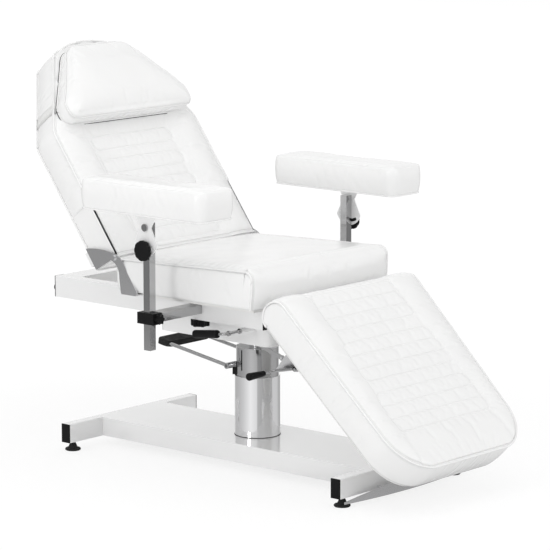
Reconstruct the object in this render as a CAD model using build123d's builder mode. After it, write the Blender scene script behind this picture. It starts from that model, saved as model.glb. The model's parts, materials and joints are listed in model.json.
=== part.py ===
"""Hydraulic tattoo chair: H base, lifting column, reclining back, tilting leg rest, two armrests.

Millimetres. X runs across the chair, -Y is the foot end, +Z is up.
The modelling frame has its origin on the floor under the column axis.
"""
from math import atan2, cos, degrees, hypot, radians, sin, sqrt
import os

from build123d import *

os.makedirs("parts", exist_ok=True)

# general fits
run_gap = 0.3
pin_gap = 0.05
wall = 2.5
sheet = 2.0

# base
base_clear = 28.0
tube_tall = 59.0
bar_deep = 34.0
bar_long = 582.0
cap_thick = 3.0
cap_plug = 20.0
rear_bar_y = 538.0
front_bar_y = -554.0
beam_wide = 289.0
base_top = base_clear + tube_tall
beam_rear = rear_bar_y - bar_deep / 2
beam_front = front_bar_y + bar_deep / 2
beam_long = beam_rear - beam_front
beam_mid = (beam_rear + beam_front) / 2

# levelling feet
foot_x = 262.0
foot_r = 24.5
foot_disc = 7.0
foot_rim = 2.0
foot_neck_r = 15.0
foot_top_r = 9.0
foot_top = 23.0
foot_stem_r = 5.0
foot_stem_top = 62.0

# kick plate
kick_half = 276.0
kick_bow = 36.0
kick_end_low = 10.4
kick_end_high = 17.0
kick_mid_low = 14.0
kick_mid_high = 50.0
kick_lip_r = 2.4
kick_post_x = 120.0
kick_post_r = 4.0
kick_post_z = 36.0

# column
cover_r = 70.0
cover_top = 274.0
cover_lip = 4.0
sleeve_r = 65.5
sleeve_low = 250.0
sleeve_top = 363.0
slot_wide = 5.0
slot_low = 293.0
slot_high = 357.0
slot_turn = 174.0
cap_ring = 4.0
pump_flange_r = 64.0
pump_flange = 10.0
pump_r = 36.0
pump_top = 350.0
ledge_r = 63.2
ledge_thick = 6.0
ram_r = 25.0
ram_low = 112.0
flange_r = 60.0
flange_thick = 10.0
column_bolt_r = 5.0
column_bolt_ring = 46.0
column_bolt_head_r = 8.5
column_bolt_head = 6.0
base_bolt_ring = 50.0

# pump pedal
pedal_y = 46.0
pedal_z = 307.0
pedal_rise = 8.9
pedal_half = 85.0
pedal_reach = 258.0
pedal_rod_r = 5.75
pedal_corner = 22.0
hub_r = 9.5
hub_in = 50.0
hub_out = 92.0
shaft_r = 6.0
shaft_out = 87.0
boss_deep = 26.0
boss_tall = 26.0
boss_half = 42.0
shaft_window = 11.0
stop_turn = 131.0
stop_wide = 14.0
stop_deep = 11.0
stop_low = 274.3
stop_high = 296.0
pad_half = 97.0
pad_back = 236.0
pad_front = 292.0
pad_thick = 18.0
pad_corner = 20.0
pad_edge = 4.0
tread_step = 9.0
tread_deep = 1.2

# chair frame
rail_in = 178.0
rail_out = 218.0
rail_low = 468.0
rail_high = 534.0
rail_front = -211.0
rail_rear = 650.0
cross_y = 112.0
cross_front_y = -134.0
cross_deep = 40.0
cross_rear_y = 612.0
cross_rear_deep = 76.0
cross_rear_tall = 40.0
bumper_r = 12.0
bumper_long = 14.0
bumper_z = 495.0

# mounting box under the frame
box_half = 140.0
box_front = -170.0
box_rear = 280.0
box_low = 398.0
box_round = 22.0
stay_slot_x = 94.0
stay_slot_wide = 18.0
stay_slot_front = -132.0
stay_slot_rear = 16.0
rear_notch_wide = 20.0
rear_notch_low = 434.0

# seat
pad_wide_half = 314.0
seat_front = -262.0
seat_rear = 283.0
seat_low = 545.0
seat_rear_high = 650.0
seat_front_high = 668.0
seat_crown = 5.0
seat_nose_r = 26.0
side_edge_r = 20.0
side_tuck = 4.0
board_inset = 20.0
board_thick = 11.0

# backrest
back_pivot_y = 298.0
back_pivot_z = 643.0
back_lean = 53.7
back_front = 16.3
back_thick = 105.0
back_low = 2.0
back_shoulder = 440.0
back_head = 742.0
back_board_thick = 10.0
back_edge_r = 16.0
back_rear_r = 8.0
head_shares = ((0.793, 0.348), (0.576, 0.762), (0.458, 0.938))
recess_deep = 5.0
recess_low = 22.0
recess_high = 425.0
recess_half = 196.0
recess_round = 40.0
recess_taper = 40.0
back_channels = (48.0, 132.0, 216.0, 300.0, 384.0)
back_channel_half = 178.0
back_channel_tall = 48.0
lug_eye = 12.0
lug_start = 24.0
lug_run = 70.0
hinge_thick = 4.0
lug_thick = 2.5
plate_back = (415.0, 658.0)
plate_crest = (352.0, 663.0)
plate_bolt = (292.0, 655.0)
plate_brow = (262.0, 636.0)
plate_front = (241.0, 603.0)
plate_toe = (202.0, 548.0)
plate_heel = 268.0
plate_shin = (274.0, 586.0)
plate_crook = (284.0, 618.0)
plate_notch = (309.0, 634.0)
plate_tail = (371.0, 597.0)
hinge_pin_r = 6.0
hinge_head_r = 9.0
hinge_head = 5.0

# leg rest
leg_pivot_y = -267.0
leg_pivot_z = 536.0
leg_drop = 43.5
leg_nose_y = -49.8
leg_nose_n = 50.7
leg_nose_r = 53.0
leg_end = 680.0
leg_end_half = 292.0
leg_corner = 135.0
leg_pin_r = 5.0
leg_lug = 5.0
leg_lug_eye = 10.0
gusset_x = 100.0
gusset_thick = 4.0

# armrests
arm_y = 56.0
arm_z = 502.0
arm_tube_deep = 50.0
arm_tube_tall = 25.0
arm_post_x = 420.0
arm_inner = 28.0
post_side = 25.0
post_low = 405.0
post_high = 787.0
arm_pivot_z = 774.0
block_half = 20.0
block_deep = 64.0
block_tall = 34.0
far_out = 71.0
far_down = 20.0
lobe_ring = 68.0
lobe_half = 47.0
lobe_low = 84.0
neck_half = 22.5
plate_thick = 3.5
tilt_swing = 24.0
slot_half = 5.0
stud_r = 4.0
rest_low = 816.0
rest_high = 910.0
rest_front = -210.0
rest_rear = 290.0
rest_half = 80.0
rest_inset = 15.0

clamp_screw_r = 5.0
clamp_knob_r = 29.0
clamp_knob_tall = 20.0
knob_lobes = 6

# release levers
back_lever_y = -111.0
back_lever_z = 452.0
lever_rod_r = 4.5
lever_guide_r = 7.0
lever_guide_out = 205.0
lever_inner = 70.0
lever_x = -271.0
lever_grip_r = 12.5
lever_grip_near = 30.0
lever_grip_far = 125.0
lever_tilt = 7.0
lever_nut_r = 8.0
lever_nut = 5.0
leg_lever_y = -244.0
leg_lever_z = 339.0
leg_lever_arm = 88.0
leg_lever_dip = 12.0
leg_grip_in = 152.0
leg_grip_out = 224.0
leg_grip_big = 12.0
leg_grip_small = 8.5

# stays: flat bars that hold the back and the leg rest
stay_thick = 6.0
stay_tall = 13.0
stay_pin_r = 4.0
back_stay_u = 200.0
back_stay_n = -120.0
back_guide_y = 275.0
back_guide_z = 455.0
back_stay_long = 378.0
leg_stay_ly = -57.3
leg_stay_ln = -185.3
leg_guide_y = -81.6
leg_guide_z = 395.1
leg_stay_long = 259.0

# pillow
pillow_low = 452.0
pillow_high = 706.0
pillow_half = 276.0
pillow_thick = 76.0
pillow_start = 56.0
pillow_corner = 30.0
pillow_front_r = 24.0
pillow_rear_r = 10.0
pillow_shares = ((0.80, 0.33), (0.60, 0.72), (0.42, 0.93))
strap_thick = 1.6
strap_wide = 34.0
strap_u = 520.0

# sewn channels
channel_wide = 5.0
channel_deep = 2.6
# more of the backrest, its bracket and the pillow
back_crown_half = 150.0
back_crown = 716.0
back_low_r = 6.0
back_shoulder_r = 60.0
back_crown_r = 50.0
clevis_thick = 4.0
clevis_foot_wide = 40.0
clevis_foot_long = 60.0
stay_eye_r = 8.0
pillow_crown_half = 126.0
pillow_bow = 4.0
pillow_shoulder_r = 40.0
pillow_crown_r = 70.0
strap_clear = 1.2
strap_round = 12.0

# more of the leg rest
leg_edge_r = 16.0
leg_sewn_half = 180.0
leg_sewn_end_half = 218.0
leg_sewn_top = -35.0
leg_sewn_end = 541.0
leg_sewn_corner = 20.0
leg_channel_pitch = 46.0
leg_box_count = 3
leg_box_lines = 3
leg_board_thick = 10.0
leg_lug_plate = 4.7
leg_lug_neck = 40.0
leg_lug_long = 140.0
leg_lug_lip = 8.0
leg_bracket_rear = -190.0
leg_bracket_top = 533.7
leg_bracket_low = 505.0
leg_pin_head = 3.0
gusset_top = 50.0
gusset_low = 228.0
gusset_tip_r = 6.0
leg_lever_step = 8.0
leg_lever_bend = 8.0
leg_lever_hub_r = 8.0
leg_rod_r = 4.0
lever_bend = 12.0

# more of the armrests
block_screw_r = 4.0
block_knob_r = 16.0
block_knob_tall = 16.0
clamp_knob_gap = 2.0
star_knob_r = 31.0
star_knob_tall = 18.0
star_lobes = 8
star_share = 0.22
pivot_bolt_r = 5.0
bolt_head = 5.0
stud_long = 14.0
flange_half = 45.0
flange_reach = 60.0
lobe_shoulder = 50.0
rest_corner = 34.0
rest_top_r = 24.0
rest_low_r = 12.0
rest_dish = 5.0

back_dir = (0, -sin(radians(back_lean)), cos(radians(back_lean)))
back_plane = Plane(origin=(0, back_pivot_y, back_pivot_z), x_dir=(1, 0, 0), z_dir=back_dir)
leg_dir = (0, -sin(radians(leg_drop)), cos(radians(leg_drop)))
leg_plane = Plane(origin=(0, leg_pivot_y, leg_pivot_z), x_dir=(1, 0, 0), z_dir=leg_dir)


def block(x0, x1, y0, y1, z0, z1, mode=Mode.ADD):
    """A box between two corners, in the builder that is open."""
    with Locations(((x0 + x1) / 2, (y0 + y1) / 2, (z0 + z1) / 2)):
        Box(x1 - x0, y1 - y0, z1 - z0, mode=mode)


def rod_z(x, y, z0, z1, r, mode=Mode.ADD):
    """An upright cylinder."""
    with Locations((x, y, (z0 + z1) / 2)):
        Cylinder(r, z1 - z0, mode=mode)


def rod_x(x0, x1, y, z, r, mode=Mode.ADD):
    """A cylinder that lies across the chair."""
    with Locations(((x0 + x1) / 2, y, z)):
        Cylinder(r, abs(x1 - x0), rotation=(0, 90, 0), mode=mode)


def rod_y(x, y0, y1, z, r, mode=Mode.ADD):
    """A cylinder that lies along the chair."""
    with Locations((x, (y0 + y1) / 2, z)):
        Cylinder(r, abs(y1 - y0), rotation=(90, 0, 0), mode=mode)


# base
bar_half = bar_long / 2
with BuildPart() as base_cross_bars:
    for bar_y in (rear_bar_y, front_bar_y):
        y0 = bar_y - bar_deep / 2
        y1 = bar_y + bar_deep / 2
        block(-bar_half, bar_half, y0, y1, base_clear, base_top)
        block(-bar_half, bar_half, y0 + wall, y1 - wall, base_clear + wall, base_top - wall,
              Mode.SUBTRACT)
        for side in (-1, 1):
            rod_z(side * foot_x, bar_y, base_clear - wall, base_clear + 2 * wall,
                  foot_stem_r + pin_gap, Mode.SUBTRACT)

beam_half = beam_wide / 2
with BuildPart() as base_beam:
    block(-beam_half, beam_half, beam_front, beam_rear, base_clear, base_top)
    block(-beam_half + wall, beam_half - wall, beam_front, beam_rear,
          base_clear + wall, base_top - wall, Mode.SUBTRACT)

with BuildPart() as base_bar_caps:
    for y in (rear_bar_y, front_bar_y):
        for side in (-1, 1):
            tip = side * bar_half
            out = side * (bar_half + cap_thick)
            inn = side * (bar_half - cap_plug)
            half = bar_deep / 2
            block(min(tip, out), max(tip, out), y - half, y + half, base_clear, base_top)
            deep = half - wall - pin_gap
            low = base_clear + wall + pin_gap
            high = base_top - wall - pin_gap
            block(min(inn, tip), max(inn, tip), y - deep, y + deep, low, high)
            block(min(inn, tip), max(inn, tip), y - deep + sheet, y + deep - sheet,
                  low + sheet, high - sheet, Mode.SUBTRACT)


def foot(x, y):
    """One levelling foot: rimmed disc, tapered neck and threaded stem."""
    with BuildSketch(Plane.XZ) as half:
        with BuildLine():
            Polyline(
                (0, 0), (foot_r - foot_rim, 0), (foot_r, foot_rim), (foot_r, foot_disc - foot_rim),
                (foot_r - foot_rim, foot_disc), (foot_neck_r, foot_disc + foot_rim),
                (foot_top_r, foot_top), (foot_stem_r, foot_top), (foot_stem_r, foot_stem_top),
                (0, foot_stem_top), (0, 0),
            )
        make_face()
    turned = revolve(half.sketch, axis=Axis.Z, mode=Mode.PRIVATE)
    add(turned.moved(Location((x, y, 0))))


with BuildPart() as levelling_foot_1:
    foot(-foot_x, rear_bar_y)
with BuildPart() as levelling_foot_2:
    foot(foot_x, rear_bar_y)
with BuildPart() as levelling_foot_3:
    foot(-foot_x, front_bar_y)
with BuildPart() as levelling_foot_4:
    foot(foot_x, front_bar_y)

bar_face = front_bar_y - bar_deep / 2
with BuildPart() as kick_plate:
    with BuildSketch(Plane.XY) as bow:
        with BuildLine():
            ThreePointArc((-kick_half, bar_face - sheet), (0, bar_face - kick_bow),
                          (kick_half, bar_face - sheet))
            Line((kick_half, bar_face - sheet), (kick_half, bar_face - 2 * sheet))
            ThreePointArc((kick_half, bar_face - 2 * sheet), (0, bar_face - kick_bow - sheet),
                          (-kick_half, bar_face - 2 * sheet))
            Line((-kick_half, bar_face - 2 * sheet), (-kick_half, bar_face - sheet))
        make_face()
    extrude(amount=kick_mid_high)
    with BuildSketch(Plane.XZ.offset(-bar_face)) as face:
        with BuildLine():
            ThreePointArc((-kick_half, kick_end_high), (0, kick_mid_high), (kick_half, kick_end_high))
            Line((kick_half, kick_end_high), (kick_half, kick_end_low))
            ThreePointArc((kick_half, kick_end_low), (0, kick_mid_low), (-kick_half, kick_end_low))
            Line((-kick_half, kick_end_low), (-kick_half, kick_end_high))
        make_face()
    extrude(amount=kick_bow + cap_plug, mode=Mode.INTERSECT)
    bow_r = (kick_half ** 2 + (kick_bow - sheet) ** 2) / (2 * (kick_bow - sheet))
    bow_y = bar_face - kick_bow + bow_r
    for side in (-1, 1):
        x = side * kick_post_x
        touch = bow_y - sqrt(bow_r ** 2 - x ** 2)
        rod_y(x, touch - sheet / 2, bar_face, kick_post_z, kick_post_r)

# column
with BuildPart() as column_cover:
    rod_z(0, 0, base_top, cover_top, cover_r)
    rod_z(0, 0, base_top, cover_top - cover_lip, cover_r - sheet, Mode.SUBTRACT)
    rod_z(0, 0, base_top, cover_top, sleeve_r + run_gap, Mode.SUBTRACT)
    fillet(column_cover.edges().filter_by(GeomType.CIRCLE).group_by(Axis.Z)[-1].sort_by(
        SortBy.RADIUS)[-1], radius=sheet)

with BuildPart() as column_sleeve:
    rod_z(0, 0, sleeve_low, sleeve_top, sleeve_r)
    rod_z(0, 0, sleeve_low, sleeve_top, sleeve_r - sheet, Mode.SUBTRACT)
    for side in (-1, 1):
        rod_x(0, side * sleeve_r, pedal_y, pedal_z, shaft_window, Mode.SUBTRACT)
    with Locations(Rot(0, 0, slot_turn)):
        with Locations((sleeve_r, 0, (slot_low + slot_high) / 2)):
            Box(4 * sheet, slot_wide, slot_high - slot_low, mode=Mode.SUBTRACT)

with BuildPart() as column_ring:
    rod_z(0, 0, sleeve_top - cap_ring, sleeve_top, sleeve_r - sheet)
    rod_z(0, 0, sleeve_top - cap_ring, sleeve_top, ram_r + run_gap, Mode.SUBTRACT)

with BuildPart() as pump_body:
    rod_z(0, 0, base_top, base_top + pump_flange, pump_flange_r)
    rod_z(0, 0, base_top, pump_top, pump_r)
    rod_z(0, 0, sleeve_low - ledge_thick, sleeve_low, ledge_r)
    rod_z(0, 0, sleeve_low, sleeve_low + ledge_thick, sleeve_r - sheet - run_gap)
    with BuildSketch(Plane.XY.offset(pedal_z - boss_tall / 2)):
        Circle(ledge_r)
        with Locations((0, (pedal_y + boss_deep / 2) / 2)):
            Rectangle(2 * boss_half, pedal_y + boss_deep / 2, mode=Mode.INTERSECT)
    extrude(amount=boss_tall)
    rod_x(-boss_half, boss_half, pedal_y, pedal_z, shaft_r + pin_gap, Mode.SUBTRACT)
    rod_z(0, 0, ram_low - 2 * wall, pump_top, ram_r + pin_gap, Mode.SUBTRACT)
    with PolarLocations(base_bolt_ring, 4, start_angle=45):
        with Locations((0, 0, base_top + pump_flange / 2)):
            Cylinder(column_bolt_r + pin_gap, pump_flange, mode=Mode.SUBTRACT)

with BuildPart() as pump_bolts:
    with PolarLocations(base_bolt_ring, 4, start_angle=45):
        with Locations((0, 0, base_top + pump_flange / 2)):
            Cylinder(column_bolt_r, pump_flange)
        with Locations((0, 0, base_top + pump_flange + column_bolt_head / 2)):
            Cylinder(column_bolt_head_r, column_bolt_head)

with BuildPart() as column_ram:
    rod_z(0, 0, ram_low, box_low - flange_thick, ram_r)
    rod_z(0, 0, box_low - flange_thick, box_low, flange_r)
    with PolarLocations(column_bolt_ring, 4, start_angle=45):
        with Locations((0, 0, box_low - flange_thick / 2)):
            Cylinder(column_bolt_r + pin_gap, flange_thick, mode=Mode.SUBTRACT)

with BuildPart() as pedal_stops:
    for turn in (stop_turn, 180 - stop_turn):
        with Locations(Rot(0, 0, turn)):
            with Locations((sleeve_r + stop_deep / 2 - sheet, 0, (stop_low + stop_high) / 2)):
                Box(stop_deep + 2 * sheet, stop_wide, stop_high - stop_low)
    rod_z(0, 0, stop_low, stop_high, sleeve_r + pin_gap, Mode.SUBTRACT)

# pump pedal
pedal_dir = (0, -sin(radians(pedal_rise)), cos(radians(pedal_rise)))
pedal_plane = Plane(origin=(0, pedal_y, pedal_z), x_dir=(1, 0, 0), z_dir=pedal_dir)
pedal_start = Plane(origin=pedal_plane.from_local_coords((-pedal_half, 0, 0)),
                    x_dir=(1, 0, 0), z_dir=(0, cos(radians(pedal_rise)), sin(radians(pedal_rise))))


def pedal_path():
    """The U that the pedal bar is bent to, in the pedal plane."""
    with BuildLine(pedal_plane) as u_bar:
        FilletPolyline(
            (-pedal_half, 0), (-pedal_half, pedal_reach), (pedal_half, pedal_reach),
            (pedal_half, 0), radius=pedal_corner,
        )
    return u_bar.line


with BuildPart() as pedal_bar:
    with BuildSketch(pedal_start) as bar_round:
        Circle(pedal_rod_r)
    sweep(bar_round.sketch, path=pedal_path())
    for side in (-1, 1):
        rod_x(side * hub_in, side * hub_out, pedal_y, pedal_z, hub_r)
    for side in (-1, 1):
        rod_x(side * hub_in, side * hub_out, pedal_y, pedal_z, shaft_r, Mode.SUBTRACT)

with BuildPart() as pedal_shaft:
    rod_x(-shaft_out, shaft_out, pedal_y, pedal_z, shaft_r)

with BuildPart() as pedal_tread:
    with BuildSketch(pedal_plane.offset(-pad_thick / 2)) as tread:
        with Locations((0, (pad_back + pad_front) / 2)):
            RectangleRounded(2 * pad_half, pad_front - pad_back, pad_corner)
    extrude(amount=pad_thick)
    fillet(pedal_tread.faces().sort_by(Axis(pedal_plane.origin, pedal_dir))[-1].edges(), radius=pad_edge)
    with BuildSketch(pedal_plane.offset(pad_thick / 2 - tread_deep)) as ribs:
        with Locations((0, (pad_back + pad_front) / 2)):
            with GridLocations(0, tread_step, 1, 5):
                Rectangle(2 * (pad_half - pad_corner), sheet)
    extrude(amount=2 * tread_deep, mode=Mode.SUBTRACT)
    with BuildSketch(pedal_start) as bore_round:
        Circle(pedal_rod_r + pin_gap / 5)
    sweep(bore_round.sketch, path=pedal_path(), mode=Mode.SUBTRACT)

# chair frame
tube_hole_deep = arm_tube_deep / 2 + run_gap
tube_hole_tall = arm_tube_tall / 2 + run_gap

def rail(side):
    """One long frame rail with the window that the armrest tube slides in."""
    x0 = min(side * rail_in, side * rail_out)
    x1 = max(side * rail_in, side * rail_out)
    block(x0, x1, rail_front, rail_rear, rail_low, rail_high)
    block(x0 + wall, x1 - wall, rail_front, rail_rear, rail_low + wall, rail_high - wall,
          Mode.SUBTRACT)
    block(x0, x1, arm_y - tube_hole_deep, arm_y + tube_hole_deep, arm_z - tube_hole_tall,
          arm_z + tube_hole_tall, Mode.SUBTRACT)
    rod_z((x0 + x1) / 2, arm_y, rail_low - wall, rail_low + 2 * wall, clamp_screw_r + pin_gap,
          Mode.SUBTRACT)


with BuildPart() as frame_rail_left:
    rail(-1)
with BuildPart() as frame_rail_right:
    rail(1)

with BuildPart() as frame_cross_tubes:
    for y in (cross_front_y, cross_y):
        block(-rail_in, rail_in, y - cross_deep / 2, y + cross_deep / 2, rail_low, rail_high)
        block(-rail_in, rail_in, y - cross_deep / 2 + wall, y + cross_deep / 2 - wall,
              rail_low + wall, rail_high - wall, Mode.SUBTRACT)
    y0 = cross_rear_y - cross_rear_deep / 2
    y1 = cross_rear_y + cross_rear_deep / 2
    low = rail_high - cross_rear_tall
    block(-rail_in, rail_in, y0, y1, low, rail_high)
    block(-rail_in, rail_in, y0 + wall, y1 - wall, low + wall, rail_high - wall, Mode.SUBTRACT)

with BuildPart() as rail_caps:
    for side in (-1, 1):
        x0 = min(side * rail_in, side * rail_out)
        x1 = max(side * rail_in, side * rail_out)
        fit = wall + pin_gap
        for y_end, y_out, y_in in (
            (rail_rear, rail_rear + cap_thick, rail_rear - cap_plug),
            (rail_front, rail_front - cap_thick, rail_front + cap_plug),
        ):
            block(x0, x1, min(y_end, y_out), max(y_end, y_out), rail_low, rail_high)
            block(x0 + fit, x1 - fit, min(y_end, y_in), max(y_end, y_in), rail_low + fit,
                  rail_high - fit)
            block(x0 + fit + sheet, x1 - fit - sheet, min(y_end, y_in), max(y_end, y_in),
                  rail_low + fit + sheet, rail_high - fit - sheet, Mode.SUBTRACT)

with BuildPart() as rear_bumpers:
    for side in (-1, 1):
        x = side * (rail_in + rail_out) / 2
        y0 = rail_rear + cap_thick
        rod_y(x, y0, y0 + bumper_long, bumper_z, bumper_r)
    fillet(rear_bumpers.edges().filter_by(GeomType.CIRCLE).group_by(Axis.Y)[-1], radius=bumper_r / 3)

with BuildPart() as mounting_box:
    with BuildSketch(Plane.XY.offset(box_low)) as foot_print:
        with Locations((0, (box_front + box_rear) / 2)):
            RectangleRounded(2 * box_half, box_rear - box_front, box_round)
    extrude(amount=rail_low - box_low)
    with BuildSketch(Plane.XY.offset(box_low + wall)) as inside:
        with Locations((0, (box_front + box_rear) / 2)):
            RectangleRounded(2 * (box_half - wall), box_rear - box_front - 2 * wall, box_round - wall)
    extrude(amount=rail_low - box_low, mode=Mode.SUBTRACT)
    half = stay_slot_wide / 2
    block(-stay_slot_x - half, -stay_slot_x + half, stay_slot_front, stay_slot_rear,
          box_low - wall, box_low + 2 * wall, Mode.SUBTRACT)
    half = rear_notch_wide / 2
    block(-half, half, box_rear - 2 * wall, box_rear + wall, rear_notch_low, rail_low + wall,
          Mode.SUBTRACT)
    rod_x(-lever_guide_out, -box_half + 2 * wall, back_lever_y, back_lever_z, lever_guide_r)
    rod_x(-lever_guide_out, -box_half + 2 * wall, back_lever_y, back_lever_z,
          lever_rod_r + pin_gap, Mode.SUBTRACT)
    with PolarLocations(column_bolt_ring, 4, start_angle=45):
        with Locations((0, 0, box_low)):
            Cylinder(column_bolt_r + pin_gap, 4 * wall, mode=Mode.SUBTRACT)

# seat
with BuildPart() as seat_board:
    block(-pad_wide_half + board_inset, pad_wide_half - board_inset, seat_front + board_inset,
          seat_rear - board_inset, rail_high, seat_low)

seat_slope = degrees(atan2(seat_front_high - seat_rear_high, seat_rear - seat_front))
seat_plane = Plane(
    origin=(0, seat_front, seat_front_high), x_dir=(1, 0, 0),
    z_dir=(0, sin(radians(seat_slope)), cos(radians(seat_slope))),
)
seat_long = (seat_rear - seat_front) / cos(radians(seat_slope))


def channels(plane, centres, half_long, tall):
    """Sewn lines round a row of stadium shapes, cut into a cushion's face."""
    with BuildSketch(plane.offset(-channel_deep)) as rings:
        for at in centres:
            with Locations((0, at)):
                SlotOverall(2 * half_long, tall)
                SlotOverall(2 * half_long - 2 * channel_wide, tall - 2 * channel_wide,
                            mode=Mode.SUBTRACT)
    return extrude(rings.sketch, amount=4 * channel_deep, dir=plane.z_dir, mode=Mode.PRIVATE)


with BuildPart() as seat_pad:
    with BuildSketch(Plane.YZ.offset(-pad_wide_half)) as side_view:
        with BuildLine():
            Line((seat_rear, seat_low), (seat_rear, seat_rear_high - side_edge_r / 2))
            RadiusArc((seat_rear, seat_rear_high - side_edge_r / 2),
                      (seat_rear - side_edge_r / 2, seat_rear_high), -side_edge_r / 2)
            ThreePointArc(
                (seat_rear - side_edge_r / 2, seat_rear_high),
                ((seat_rear + seat_front) / 2, (seat_rear_high + seat_front_high) / 2 + seat_crown),
                (seat_front + seat_nose_r, seat_front_high),
            )
            RadiusArc((seat_front + seat_nose_r, seat_front_high),
                      (seat_front, seat_front_high - seat_nose_r), -seat_nose_r)
            Line((seat_front, seat_front_high - seat_nose_r), (seat_front, seat_low))
            Line((seat_front, seat_low), (seat_rear, seat_low))
        make_face()
    extrude(amount=2 * pad_wide_half)
    half = pad_wide_half
    deep = seat_front_high - seat_low
    with BuildSketch(Plane(origin=seat_plane.origin, x_dir=(1, 0, 0),
                           z_dir=-Vector(seat_plane.y_dir))) as end_view:
        with BuildLine():
            Line((-half + side_edge_r, 0), (-half + 2 * side_edge_r, seat_crown))
            ThreePointArc((-half + 2 * side_edge_r, seat_crown), (0, 2 * seat_crown),
                          (half - 2 * side_edge_r, seat_crown))
            Line((half - 2 * side_edge_r, seat_crown), (half - side_edge_r, 0))
            RadiusArc((half - side_edge_r, 0), (half, -side_edge_r), side_edge_r)
            ThreePointArc((half, -side_edge_r), (half - side_tuck, -deep * 0.6), (half, -deep * 1.2))
            Line((half, -deep * 1.2), (-half, -deep * 1.2))
            ThreePointArc((-half, -deep * 1.2), (-half + side_tuck, -deep * 0.6), (-half, -side_edge_r))
            RadiusArc((-half, -side_edge_r), (-half + side_edge_r, 0), side_edge_r)
        make_face()
    extrude(amount=-2 * seat_long, both=True, mode=Mode.INTERSECT)

# hinge plates
hinge_in = pad_wide_half + 2 * run_gap + lug_thick + run_gap
hinge_out = hinge_in + hinge_thick
flange_low = rail_high + wall * 2
flange_deep_half = 30.0
flange_mid_y = 236.0


def hinge_plate(side):
    """Steel side plate on the seat that carries the pivot of the back."""
    x0 = min(side * hinge_in, side * hinge_out)
    with BuildSketch(Plane.YZ.offset(x0)) as outline:
        with BuildLine():
            ThreePointArc(plate_back, plate_crest, plate_bolt)
            ThreePointArc(plate_bolt, plate_brow, plate_front)
            Polyline(plate_front, plate_toe, (plate_toe[0], flange_low), (plate_heel, flange_low),
                     plate_shin)
            ThreePointArc(plate_shin, plate_crook, plate_notch)
            Polyline(plate_notch, plate_tail, plate_back)
        make_face()
    add(extrude(outline.sketch, amount=hinge_thick, mode=Mode.PRIVATE))
    tab = pad_wide_half - board_inset
    block(min(side * tab, side * hinge_out), max(side * tab, side * hinge_out),
          flange_mid_y - flange_deep_half, flange_mid_y + flange_deep_half,
          flange_low - hinge_thick, flange_low)
    rod_x(side * hinge_in, side * hinge_out, back_pivot_y, back_pivot_z, hinge_pin_r, Mode.SUBTRACT)


with BuildPart() as hinge_plates:
    hinge_plate(-1)
    hinge_plate(1)

with BuildPart() as hinge_pins:
    for side in (-1, 1):
        rod_x(side * (hinge_in - lug_thick - run_gap), side * hinge_out, back_pivot_y, back_pivot_z,
              hinge_pin_r)
        rod_x(side * hinge_out, side * (hinge_out + hinge_head), back_pivot_y, back_pivot_z,
              hinge_head_r)


# backrest
def head_outline(half, low, shoulder, crown_half, crown, head, low_r, shoulder_r, crown_r):
    """A pad's outline: straight sides, drawn-in shoulders and a rounded head."""
    with BuildSketch() as plan:
        with BuildLine():
            Polyline(
                (-half, low), (half, low), (half, shoulder), (crown_half, crown), (0, head),
                (-crown_half, crown), (-half, shoulder), (-half, low),
            )
        make_face()
        fillet(plan.vertices().group_by(Axis.Y)[-1], radius=crown_half * 2)
        fillet(plan.vertices().filter_by(lambda v: abs(v.Y - crown) < run_gap), radius=crown_r)
        fillet(plan.vertices().filter_by(lambda v: abs(v.Y - shoulder) < run_gap), radius=shoulder_r)
        fillet(plan.vertices().filter_by(lambda v: abs(v.Y - low) < run_gap), radius=low_r)
    return plan.sketch


back_outline = head_outline(pad_wide_half, back_low, back_shoulder, back_crown_half, back_crown,
                            back_head, back_low_r, back_shoulder_r, back_crown_r)
with BuildPart() as back_pad:
    with BuildSketch(back_plane.offset(back_front - back_thick)) as plan:
        add(back_outline)
    extrude(amount=back_thick)
    faces = back_pad.faces().sort_by(Axis(back_plane.origin, back_dir))
    fillet(faces[-1].edges(), radius=back_edge_r)
    fillet(back_pad.faces().sort_by(Axis(back_plane.origin, back_dir))[0].edges(), radius=back_rear_r)
    with BuildSketch(back_plane.offset(back_front - recess_deep)) as dish:
        with Locations((0, (recess_low + recess_high) / 2)):
            RectangleRounded(2 * recess_half, recess_high - recess_low, recess_round)
    extrude(amount=2 * recess_deep, taper=-recess_taper, mode=Mode.SUBTRACT)
    add(channels(back_plane.offset(back_front - recess_deep), back_channels, back_channel_half,
                 back_channel_tall), mode=Mode.SUBTRACT)

with BuildPart() as back_board:
    with BuildSketch(back_plane.offset(back_front - back_thick - back_board_thick)) as plan:
        add(offset(back_outline, amount=-board_inset, mode=Mode.PRIVATE))
    extrude(amount=back_board_thick)

back_under = back_front - back_thick
lug_floor = back_under - back_board_thick - lug_thick
lug_in = pad_wide_half + run_gap
lug_out = lug_in + lug_thick


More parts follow.
